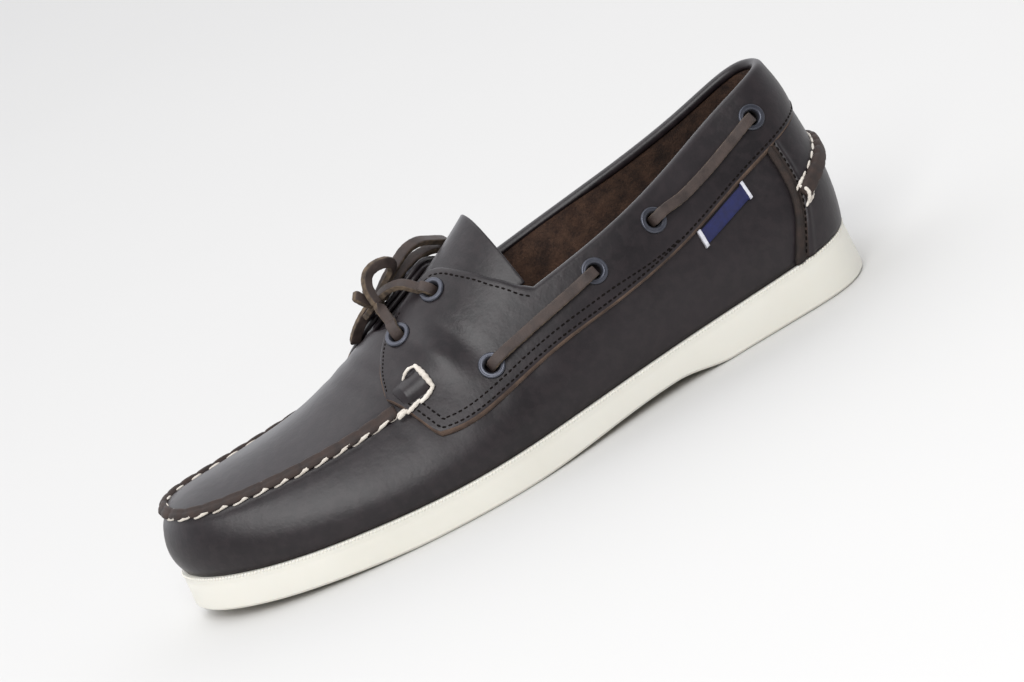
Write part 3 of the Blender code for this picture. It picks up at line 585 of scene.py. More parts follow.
class ShapeTree:
    """A Geometry Nodes tree with named sockets, which takes a shape in and gives one back."""

    def __init__(self, name: str, kinds: dict[str, str]) -> None:
        """Make the tree with its sockets.

        Args:
            name: Name of the tree.
            kinds: Name and kind of each input beside the shape.
        """
        self.tree = bpy.data.node_groups.new(name, "GeometryNodeTree")
        face = self.tree.interface
        face.new_socket("Shape", in_out="INPUT", socket_type="NodeSocketGeometry")
        self.sockets = {label: face.new_socket(label, in_out="INPUT", socket_type="NodeSocket" + kind).identifier
                        for label, kind in kinds.items()}
        face.new_socket("Result", in_out="OUTPUT", socket_type="NodeSocketGeometry")
        self.bench = NodeBench(self.tree)
        self.given = self.bench.add("NodeGroupInput").outputs

    def put_on(self, piece: Piece, values: dict[str, object]) -> None:
        """Put the tree on a piece.

        Args:
            piece: The piece.
            values: Value of each input beside the shape.
        """
        modifier = piece.modifiers.new(self.tree.name, "NODES")
        modifier.node_group = self.tree
        for name, value in values.items():
            modifier[self.sockets[name]] = value


@dataclass(frozen=True)
class Finish:
    """One material: two colours that a mask blends, gloss, and the height that its bump reads."""

    name: str
    dark: tuple[float, float, float]
    light: tuple[float, float, float]
    roughness: tuple[float, float] = (0.5, 0.6)
    metallic: float = 0.0
    specular: float = 0.5
    sheen: float = 0.0
    subsurface: float = 0.0
    relief: str = "leather_grain"
    relief_scale: float = 900.0
    bump_depth: float = 0.00006
    bump_strength: float = 0.5
    cloud_size: float = 30.0
    worn: tuple[float, float, float] | None = None

    def build(self) -> bpy.types.Material:
        """Make the material, with its groups already in the file.

        Returns:
            The material.
        """
        material = bpy.data.materials.new(self.name)
        material.use_nodes = True
        bench = NodeBench(material.node_tree)
        shader = material.node_tree.nodes["Principled BSDF"]
        groups = bpy.data.node_groups
        cloud = bench.add("ShaderNodeGroup", node_tree=groups["mottle"])
        cloud.inputs[0].default_value = self.cloud_size
        detail = bench.add("ShaderNodeGroup", node_tree=groups[self.relief])
        detail.inputs[0].default_value = self.relief_scale
        colour = bench.mix(cloud.outputs[0], (*self.dark, 1.0), (*self.light, 1.0))
        if self.worn is not None:
            share = bench.math("MULTIPLY", detail.outputs[1], 0.45)
            colour = bench.mix(share, colour, (*self.worn, 1.0))
        rough = bench.ramp(cloud.outputs[0], 0.0, 1.0, *self.roughness)
        relief = bench.add("ShaderNodeBump", {
            "Height": detail.outputs[0], "Distance": self.bump_depth, "Strength": self.bump_strength})
        for name, source in (("Base Color", colour), ("Roughness", rough), ("Normal", relief.outputs[0])):
            bench.join(source, shader.inputs[name])
        constants = {"Metallic": self.metallic, "Specular IOR Level": self.specular,
                     "Sheen Weight": self.sheen, "Subsurface Weight": self.subsurface,
                     "Subsurface Radius": (0.004, 0.003, 0.002)}
        for name, value in constants.items():
            shader.inputs[name].default_value = value
        material.diffuse_color = (*self.light, 1.0)
        return material


FINISHES = (
    Finish("oiled_leather", (0.0072, 0.0050, 0.0062), (0.0165, 0.0118, 0.0140), (0.35, 0.46),
           specular=0.42, cloud_size=22.0, worn=(0.024, 0.017, 0.019), bump_depth=0.00007,
           bump_strength=0.5),
    Finish("raw_edge", (0.055, 0.034, 0.025), (0.130, 0.084, 0.060), (0.80, 0.92), relief="nap",
           relief_scale=1600.0, bump_depth=0.00020, bump_strength=0.8, cloud_size=160.0),
    Finish("rib_edge", (0.012, 0.008, 0.0065), (0.038, 0.024, 0.019), (0.80, 0.92), relief="nap",
           relief_scale=1300.0, bump_depth=0.00020, bump_strength=0.8, cloud_size=210.0),
    Finish("seam_leather", (0.017, 0.010, 0.008), (0.048, 0.030, 0.024), (0.68, 0.84), relief="nap",
           relief_scale=1100.0, bump_depth=0.00024, bump_strength=0.9, cloud_size=260.0),
    Finish("suede_lining", (0.018, 0.008, 0.005), (0.034, 0.016, 0.010), (0.90, 1.0), sheen=0.06,
           relief="nap", relief_scale=800.0, bump_depth=0.0012, bump_strength=1.0, cloud_size=160.0,
           worn=(0.15, 0.078, 0.046)),
    Finish("sock_leather", (0.060, 0.033, 0.022), (0.085, 0.050, 0.034), (0.65, 0.78), cloud_size=40.0),
    Finish("rawhide_lace", (0.030, 0.020, 0.017), (0.064, 0.044, 0.037), (0.58, 0.72), relief="nap",
           relief_scale=1000.0, bump_depth=0.00030, bump_strength=0.9, cloud_size=210.0),
    Finish("lace_edge", (0.042, 0.029, 0.020), (0.150, 0.108, 0.072), (0.80, 0.95), relief="nap",
           relief_scale=1500.0, bump_depth=0.00030, bump_strength=0.9, cloud_size=420.0),
    Finish("eyelet_lacquer", (0.060, 0.064, 0.080), (0.090, 0.094, 0.115), (0.28, 0.38), metallic=0.7,
           bump_depth=0.00001, cloud_size=200.0),
    # Near-black painted shade for the inside of the eyelet barrels; the hole cutters wear it too.
    Finish("hole_dark", (0.006, 0.005, 0.005), (0.010, 0.008, 0.008), (0.9, 1.0)),
    Finish("cream_thread", (0.60, 0.54, 0.47), (0.76, 0.71, 0.64), (0.55, 0.70), relief="nap",
           relief_scale=2200.0, bump_depth=0.00020, bump_strength=0.8, cloud_size=220.0),
    Finish("brown_thread", (0.0045, 0.0032, 0.0028), (0.010, 0.0075, 0.0065), (0.80, 0.90), relief="nap",
           specular=0.1, relief_scale=3000.0, bump_depth=0.00008, cloud_size=300.0),
    Finish("ivory_rubber", (0.735, 0.715, 0.640), (0.775, 0.755, 0.685), (0.50, 0.60), subsurface=0.06,
           relief_scale=700.0, bump_depth=0.00003, bump_strength=0.25, cloud_size=18.0),
    Finish("tread_rubber", (0.560, 0.520, 0.430), (0.660, 0.620, 0.530), (0.62, 0.74),
           relief_scale=700.0, bump_depth=0.00005, bump_strength=0.35, cloud_size=26.0),
    Finish("navy_weave", (0.009, 0.011, 0.058), (0.014, 0.018, 0.088), (0.75, 0.85), relief="nap",
           relief_scale=2600.0, bump_depth=0.00012, cloud_size=500.0),
    Finish("pale_weave", (0.55, 0.55, 0.60), (0.70, 0.70, 0.75), (0.75, 0.85), relief="nap",
           relief_scale=2600.0, bump_depth=0.00012, cloud_size=500.0),
    Finish("pale_floor", (0.625, 0.619, 0.605), (0.635, 0.629, 0.615), (0.9, 0.95), bump_depth=0.0,
           specular=0.1, cloud_size=2.0),
)


class Workshop:
    """Keeps the last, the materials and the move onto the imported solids, and makes the objects."""

    def __init__(self, last: Last) -> None:
        """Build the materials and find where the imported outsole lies.

        Args:
            last: The shoe's surface.
        """
        self.last = last
        for build in (leather_grain_group, mottle_group, nap_group):
            build()
        self.materials = {finish.name: finish.build() for finish in FINISHES}
        low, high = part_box("outsole")
        plan, _ = last.outline(np.linspace(-math.pi, math.pi, 1441))
        middle = 0.5 * (plan.min(axis=0) + plan.max(axis=0))
        packed = 0.5 * (np.array(low)[:2] + np.array(high)[:2])
        self.move = np.array([*(packed - middle), 0.0])

    def mesh(self, name: str, points: Array, faces: Iterable, finishes: Sequence[str],
             indices: Sequence[int] | None = None) -> Piece:
        """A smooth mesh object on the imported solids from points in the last's own place.

        Args:
            name: Name of the piece.
            points: Its points.
            faces: Its faces as tuples of point numbers.
            finishes: Names of its materials.
            indices: Material of each face.

        Returns:
            The object, with doubles merged and normals outwards.
        """
        data = bpy.data.meshes.new(name)
        data.from_pydata((np.asarray(points) + self.move).tolist(), [], [tuple(face) for face in faces])
        if indices is not None:
            data.polygons.foreach_set("material_index", np.asarray(indices, dtype=np.int32))
        mesh = bmesh.new()
        mesh.from_mesh(data)
        bmesh.ops.remove_doubles(mesh, verts=mesh.verts, dist=MERGE)
        bmesh.ops.dissolve_degenerate(mesh, edges=mesh.edges, dist=MERGE)
        bmesh.ops.recalc_face_normals(mesh, faces=mesh.faces)
        mesh.to_mesh(data)
        mesh.free()
        return self.wear(name, data, finishes)

    def wear(self, name: str, data: bpy.types.Mesh, finishes: Sequence[str]) -> Piece:
        """Make a smooth object from a mesh, in its materials.

        Args:
            name: Name of the piece.
            data: Its mesh.
            finishes: Names of its materials.

        Returns:
            The object.
        """
        for finish in finishes:
            data.materials.append(self.materials[finish])
        data.shade_smooth()
        return put_in_scene(name, data)

    def shell(self, name: str, grids: Sequence[Array], thickness: float) -> Piece:
        """Give open sheets of leather a wall towards the shoe's inside, with a suede face there.

        Args:
            name: Name of the piece.
            grids: Points of each sheet.
            thickness: Thickness of the wall.

        Returns:
            The object.
        """
        sheets = ((grid.reshape(-1, 3), grid_faces(*grid.shape[:2])) for grid in grids)
        piece = self.mesh(name, *together(sheets), ["oiled_leather", "suede_lining"])
        if sum(face.normal.dot(face.center - Vector(INSIDE)) for face in piece.data.polygons) < 0.0:
            piece.data.flip_normals()
        wall = piece.modifiers.new("Wall", "SOLIDIFY")
        wall.thickness, wall.offset, wall.material_offset = thickness, -1.0, 1
        return piece

    def settle(self, piece: Piece, slot: Slot, *nodes: str) -> Piece:
        """Let a finished piece ride on the shoe and stand for its solids.

        Args:
            piece: The piece.
            slot: Its material slot; not used.
            nodes: Solids that it stands for.

        Returns:
            The piece, without modifiers.
        """
        piece = self.plain(piece)
        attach(piece, "root")
        if nodes:
            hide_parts(*nodes)
        LOG.info("%s: %d faces", piece.name, len(piece.data.polygons))
        return piece

    @staticmethod
    def plain(piece: Piece) -> Piece:
        """Turn a piece with modifiers into a plain mesh.

        Args:
            piece: The piece.

        Returns:
            The same piece.
        """
        if piece.modifiers:
            graph = bpy.context.evaluated_depsgraph_get()
            data = bpy.data.meshes.new_from_object(piece.evaluated_get(graph))
            piece.modifiers.clear()
            piece.data = data
        return piece


def grid_faces(rows: int, columns: int, closed: bool = False) -> list[tuple]:
    """Faces between neighbouring rows and columns of points.

    Args:
        rows: Number of rows.
        columns: Points in each row.
        closed: Whether each row's last point joins its first.

    Returns:
        Four-cornered faces, row by row.
    """
    faces = []
    for base in range(0, (rows - 1) * columns, columns):
        for column in range(columns if closed else columns - 1):
            after = (column + 1) % columns
            faces.append((base + column, base + after, base + columns + after, base + columns + column))
    return faces


def tube(grid: Array) -> Body:
    """A closed body from rings of points.

    Args:
        grid: Points by ring and by place in the ring.

    Returns:
        Points and faces; the last two faces close the ends.
    """
    rings, count = grid.shape[:2]
    ends = [tuple(range(count)), tuple(reversed(range((rings - 1) * count, rings * count)))]
    return grid.reshape(-1, 3), grid_faces(rings, count, True) + ends


def together(bodies: Iterable[Body]) -> Body:
    """Several bodies as one.

    Args:
        bodies: Points and faces of each.

    Returns:
        Points and faces.
    """
    points, faces, start = [], [], 0
    for part, walls in bodies:
        points.append(part)
        faces += [tuple(start + i for i in wall) for wall in walls]
        start += len(part)
    return np.vstack(points), faces


def smooth_route(route: Sequence[Sequence[float]], spacing: float) -> Array:
    """Draw a smooth curve through a route.

    Args:
        route: Points to pass.
        spacing: Wanted distance between the curve's points.

    Returns:
        Points of the curve.
    """
    points = np.array(route, dtype=float)
    lengths = travelled(points)
    steps = np.linspace(0.0, lengths[-1], max(3, int(round(lengths[-1] / spacing)) + 1))
    return np.column_stack([Spline(lengths, points[:, axis])(steps) for axis in range(3)])


def rounded_box(width: float, height: float, corner: float, steps: int = 3,
                crisp: bool = False) -> Array:
    """Outline of a flat cord's section, from its right side round to the left and back below.

    Args:
        width: Width of the section.
        height: Height of the section.
        corner: Radius of its corners.
        steps: Steps round each corner.
        crisp: Whether extra points keep the flat sides flat in shading.

    Returns:
        Points of the outline.
    """
    points = []
    middles = ((1, 1), (-1, 1), (-1, -1), (1, -1))
    for quarter, (x, y) in enumerate(middles):
        for step in range(steps + 1):
            angle = 0.5 * math.pi * (quarter + step / steps)
            points.append((x * (0.5 * width - corner) + corner * math.cos(angle),
                           y * (0.5 * height - corner) + corner * math.sin(angle)))
    points = np.array(points)
    if not crisp:
        return points
    dense = []
    for number, (point, after) in enumerate(zip(points, np.roll(points, -1, axis=0)), start=1):
        dense.append(point)
        if number % (steps + 1) == 0:
            dense += [point + share * (after - point) for share in (0.15, 0.85)]
    return np.array(dense)


def sweep(path: Array, up: Array, section: Array, scales: Array) -> Body:
    """A closed body that carries a section along a path.

    Args:
        path: Points of the path.
        up: For each point the way that the section's second axis looks.
        section: Closed outline of the section.
        scales: For each point the section's size in both axes.

    Returns:
        Points and faces; the last two faces close the ends.
    """
    tangent = unit(np.gradient(path, axis=0))
    up = unit(up - tangent * np.sum(up * tangent, axis=1, keepdims=True))
    across = np.cross(tangent, up)
    wide = section[None, :, 0] * scales[:, :1]
    high = section[None, :, 1] * scales[:, 1:]
    return tube(path[:, None, :] + across[:, None, :] * wide[..., None] + up[:, None, :] * high[..., None])


BLUNTNESS = 0.62


def stitch_tree() -> ShapeTree:
    """Geometry Nodes tree that sets thread stitches, pricks or teeth along lines.

    Returns:
        The tree; its lines carry the way out of the leather as "facing".
    """
    kinds = dict.fromkeys(("Pitch", "Length", "Width", "Height", "Slant", "Sink", "Jitter"), "Float")
    made = ShapeTree("stitch_row", {**kinds, "Seed": "Int", "Finish": "Material"})
    bench, given = made.bench, made.given
    line = bench.add("GeometryNodeMeshToCurve", {"Mesh": given["Shape"]})
    even = bench.add("GeometryNodeResampleCurve", {"Curve": line.outputs[0], "Length": given["Pitch"]},
                     mode="LENGTH")
    facing = bench.add("GeometryNodeInputNamedAttribute", {"Name": "facing"}, data_type="FLOAT_VECTOR")
    ahead = bench.add("GeometryNodeInputTangent")
    frame = bench.add("FunctionNodeAxesToRotation", {0: facing.outputs[0], 1: ahead.outputs[0]},
                      primary_axis="Z", secondary_axis="X")
    slant = bench.add("ShaderNodeCombineXYZ", {"Z": given["Slant"]})
    lean = bench.add("FunctionNodeEulerToRotation", {0: slant.outputs[0]})
    turned = bench.add("FunctionNodeRotateRotation", {0: frame.outputs[0], 1: lean.outputs[0]},
                       rotation_space="LOCAL")
    ball = bench.add("GeometryNodeMeshUVSphere", {"Segments": 10, "Rings": 6, "Radius": 0.5})
    parts = bench.add("ShaderNodeSeparateXYZ", {0: bench.add("GeometryNodeInputPosition").outputs[0]})
    reach = bench.math("POWER", bench.math("ABSOLUTE", parts.outputs[0]), BLUNTNESS)
    reach = bench.math("MULTIPLY", bench.math("MULTIPLY", reach, 0.5 ** (1.0 - BLUNTNESS)),
                       bench.math("SIGN", parts.outputs[0]))
    blunt = bench.add("ShaderNodeCombineXYZ", {0: reach, 1: parts.outputs[1], 2: parts.outputs[2]})
    shaped = bench.add("GeometryNodeSetPosition", {
        "Geometry": ball.outputs[0], "Position": blunt.outputs[0]})
    size = bench.add("ShaderNodeCombineXYZ", {
        "X": given["Length"], "Y": given["Width"], "Z": given["Height"]})
    drop = bench.add("ShaderNodeCombineXYZ", {"Z": bench.math("MULTIPLY", given["Sink"], -1.0)})
    grain = bench.add("GeometryNodeTransform", {
        "Geometry": shaped.outputs[0], "Translation": drop.outputs[0], "Scale": size.outputs[0]})
    least, most = (bench.math(way, 1.0, given["Jitter"]) for way in ("SUBTRACT", "ADD"))
    vary = bench.add("FunctionNodeRandomValue", {
        "Min": bench.add("ShaderNodeCombineXYZ", {0: least, 1: least, 2: least}).outputs[0],
        "Max": bench.add("ShaderNodeCombineXYZ", {0: most, 1: most, 2: most}).outputs[0],
        "Seed": given["Seed"]}, data_type="FLOAT_VECTOR")
    laid = bench.add("GeometryNodeInstanceOnPoints", {
        "Points": even.outputs[0], "Instance": grain.outputs[0], "Rotation": turned.outputs[0],
        "Scale": vary.outputs[0]})
    real = bench.add("GeometryNodeRealizeInstances", {"Geometry": laid.outputs[0]})
    dressed = bench.add("GeometryNodeSetMaterial", {
        "Geometry": real.outputs[0], "Material": given["Finish"]})
    bench.add("NodeGroupOutput", {0: dressed.outputs[0]})
    return made


@dataclass(frozen=True)
class Stitch:
    """Sizes of one kind of stitch, in metres and radians."""

    pitch: float
    length: float
    width: float
    height: float
    slant: float = 0.0
    sink: float = 0.0
    jitter: float = 0.06
    finish: str = "brown_thread"


CREAM_STITCH = Stitch(0.0081, 0.0089, 0.00155, 0.0014, slant=0.19, finish="cream_thread")
INNER_STITCH = Stitch(0.0081, 0.0066, 0.00115, 0.0009, slant=0.10, finish="cream_thread")
BROWN_STITCH = Stitch(0.0024, 0.0017, 0.00080, 0.00055)
FINE_STITCH = Stitch(0.0017, 0.0011, 0.00060, 0.00040)
HEEL_STITCH = Stitch(0.0056, 0.0044, 0.00115, 0.0010, slant=0.12, finish="cream_thread")
WELT_TOOTH = Stitch(0.0014, 0.00095, 0.0014, 0.0009, jitter=0.04, finish="ivory_rubber")
SOLE_STITCH = Stitch(0.0085, 0.0050, 0.0012, 0.0010, finish="tread_rubber")


class Seamstress:
    """Sews rows of stitches onto finished pieces."""

    def __init__(self, shop: Workshop) -> None:
        """Keep the workshop and build the stitch tree.

        Args:
            shop: The workshop.
        """
        self.shop = shop
        self.tree = stitch_tree()
        self.rows: dict[tuple[str, str], list[bpy.types.Mesh]] = {}
        self.seed = 11

    def surface(self, pieces: Sequence[Piece]) -> BVHTree:
        """Search tree over the faces of finished pieces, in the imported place.

        Args:
            pieces: The pieces.

        Returns:
            The tree.
        """
        points, faces = [], []
        for piece in pieces:
            start = len(points)
            points.extend(vertex.co.copy() for vertex in piece.data.vertices)
            faces.extend(tuple(start + i for i in face.vertices) for face in piece.data.polygons)
        return BVHTree.FromPolygons(points, faces)

    def lay(self, line: Array, facing: Array, tree: BVHTree | None,
            lift: float = 0.0) -> tuple[Array, Array]:
        """Drop a line onto a surface from outside.

        Args:
            line: Points in the last's own place.
            facing: For each point the way out.
            tree: Surface to drop onto, or None to keep the line.
            lift: Height over the surface.

        Returns:
            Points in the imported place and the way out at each.
        """
        reach = 0.012
        points, ways = [], []
        for point, way in zip(line + self.shop.move, unit(facing)):
            hit = tree.ray_cast(Vector(point + way * reach), Vector(-way), 3.0 * reach) if tree else None
            if hit is not None and hit[0] is not None:
                out = np.array(hit[1]) * (1.0 if Vector(way).dot(hit[1]) > 0.0 else -1.0)
                point = np.array(hit[0])
                way = unit(0.5 * way + 0.5 * out)
            points.append(point + way * lift)
            ways.append(way)
        return np.array(points), np.array(ways)

    def sew(self, group: str, stitch: Stitch, line: Array, facing: Array,
            tree: BVHTree | None = None, lift: float = 0.0) -> None:
        """Sew one row and keep it for its group.

        Args:
            group: Name of the piece that the row ends up in.
            stitch: Kind of stitch.
            line: Points of the row in the last's own place.
            facing: The way out at each point.
            tree: Surface that the row lies on.
            lift: Height over it.
        """
        points, ways = self.lay(line, facing, tree, lift)
        data = bpy.data.meshes.new("row")
        edges = [(i, i + 1) for i in range(len(points) - 1)]
        data.from_pydata(points.tolist(), edges, [])
        data.attributes.new("facing", "FLOAT_VECTOR", "POINT").data.foreach_set("vector", ways.ravel())
        row = put_in_scene("row", data)
        self.seed += 1
        values = {name.title(): value for name, value in asdict(stitch).items()}
        values |= {"Seed": self.seed, "Finish": self.shop.materials[stitch.finish]}
        self.tree.put_on(row, values)
        graph = bpy.context.evaluated_depsgraph_get()
        sewn = bpy.data.meshes.new_from_object(row.evaluated_get(graph))
        bpy.data.objects.remove(row, do_unlink=True)
        self.rows.setdefault((group, stitch.finish), []).append(sewn)

    def finish(self, slots: dict[str, Slot]) -> None:
        """Join each group's rows into one piece.

        Args:
            slots: Material slot of each group.
        """
        for (group, finish), meshes in self.rows.items():
            mesh = bmesh.new()
            for data in meshes:
                mesh.from_mesh(data)
            joined = bpy.data.meshes.new(group)
            mesh.to_mesh(joined)
            mesh.free()
            self.shop.settle(self.shop.wear(group, joined, [finish]), slots[group])


THROAT = (
    (-0.1310, 0.000), (-0.1285, 0.030), (-0.1220, 0.052), (-0.1110, 0.062), (-0.0521, 0.062),
    (-0.0357, 0.080), (-0.0239, 0.113), (-0.0110, 0.166), (0.0144, 0.248), (0.0404, 0.307),
    (0.0700, 0.344),
)
SADDLE_FRONT = ((-0.1727, 0.564), (-0.1589, 0.503), (-0.1373, 0.373))
SADDLE_EDGE = (
    (-0.1373, 0.373), (-0.1150, 0.362), (-0.0560, 0.378), (0.0000, 0.418), (0.0576, 0.454),
    (0.1300, 0.482), (0.2000, 0.512), (0.2750, 0.560), (0.3600, 0.636), (0.4200, 0.690),
    (0.4845, 0.750),
)
SADDLE_TOP = (
    (-0.1727, 0.307), (-0.1583, 0.213), (-0.1397, 0.151), (-0.1214, 0.110), (-0.1051, 0.099),
    (-0.0811, 0.081), (-0.0521, 0.070), (-0.0357, 0.080),
)


@dataclass
class Cut:
    """Where the leather pieces end on the last."""

    last: Last
    corner: float = 0.0035

    def throat_level(self, turn: Array) -> Array:
        """Levels at which the upper ends above: the collar, the throat's edge or the closed crest.

        Args:
            turn: Signed turns.

        Returns:
            The level at each turn.
        """
        place = self.last.place_at(turn)
        half = self.last.ball * soft_table(THROAT, place, self.corner)
        level = np.where(place >= THROAT[-1][0], 1.0, self.last.level_at_width(turn, half))
        return np.where(place <= THROAT[0][0], 2.0, level)

    def edge_height(self, place: Array) -> Array:
        """Height of the saddle's and band's lower edge.

        Args:
            place: Places along the shoe.

        Returns:
            The height at each place.
        """
        place = np.asarray(place, dtype=float)
        front = np.interp(place, *zip(*SADDLE_FRONT))
        rear = Spline(*zip(*SADDLE_EDGE))(place)
        return self.last.collar_height * np.where(place < SADDLE_FRONT[-1][0], front, rear)

    def saddle_span(self, turn: Array) -> tuple[Array, Array]:
        """Lowest and highest levels of the saddle and band.

        Args:
            turn: Signed turns.

        Returns:
            The lowest and the highest level at each turn.
        """
        place = self.last.place_at(turn)
        low = self.last.level_at_height(turn, self.edge_height(place))
        half = self.last.ball * soft_table(SADDLE_TOP, place, self.corner)
        high = np.where(place < SADDLE_TOP[-1][0], self.last.level_at_width(turn, half),
                        self.throat_level(turn))
        return low, np.maximum(low, high)


@dataclass
class Upper:
    """The hollow upper: vamp and toe plug, and quarters up to the collar."""

    shop: Workshop
    cut: Cut
    wall: float = 0.0018
    spacing: float = 0.0019
    wall_rows: int = 30
    crown_rows: int = 22
    hollow: float = 0.0005
    slack: float = 0.0003
    flex_creases: tuple = ((-0.155, 0.0022, 0.00042), (-0.185, 0.0026, 0.00034), (-0.215, 0.0030, 0.00026))

    def relief(self, turn: Array, level: Array, points: Array) -> Array:
        """Height of the main creases and of the hollow along the seam.

        Args:
            turn: Signed turns of the points.
            level: Levels of the points.
            points: The points themselves.

        Returns:
            Distance outwards at each point.
        """
        last = self.shop.last
        place = points[..., 0] / last.length
        under = -self.hollow * bump(level, 0.90, 0.055) * smooth_step(-place, 0.18, 0.24)
        slack = self.slack * np.sin(place * 95.0 + 2.0 * np.sign(turn)) * bump(level, 0.62, 0.20)
        slack = slack * smooth_step(-place, -0.40, -0.20) * smooth_step(place, -0.20, -0.10)
        folds = np.zeros_like(place)
        for middle, width, depth in self.flex_creases:
            lean = middle + 0.10 * np.abs(points[..., 1]) / last.ball
            side = smooth_step(level, 0.45, 0.85)
            folds -= depth * bump(place * last.length, lean * last.length, width) * side
        return under + slack + folds

    def shape(self, turn: Array, level: Array) -> Array:
        """Points of the leather's outer face.

        Args:
            turn: Signed turns.
            level: Levels.

        Returns:
            The points.
        """
        last = self.shop.last
        points = last.point(turn, level)
        return points + last.normal(turn, level) * self.relief(turn, level, points)[..., None]

    def build(self) -> Piece:
        """The leather wall with its lining on the inside.

        Returns:
            The piece, whose wall is still a modifier.
        """
        last = self.shop.last
        turns = last.even_turns(0.0, math.pi, self.spacing, 0.5)
        both = np.concatenate([-turns[::-1], turns[1:]])
        grids = [self.shape(*np.meshgrid(both, np.linspace(0.0, 1.0, self.wall_rows)))]
        back = float(last.turn_at(THROAT[-1][0]))
        share = np.linspace(0.0, 1.0, self.crown_rows)[:, None]
        for side in Side:
            across = side.value * np.concatenate([[back], turns[turns > back]])
            level = 1.0 + (self.cut.throat_level(across) - 1.0) * share
            grid = self.shape(np.broadcast_to(across, level.shape), np.maximum(level, 1.0 + 1e-9))
            grid[-1, last.place_at(across) <= THROAT[0][0], 1] = 0.0
            grid[0] = self.shape(across, np.ones_like(across))
            grids.append(grid)
        return self.shop.shell("upper_leather", grids, self.wall)


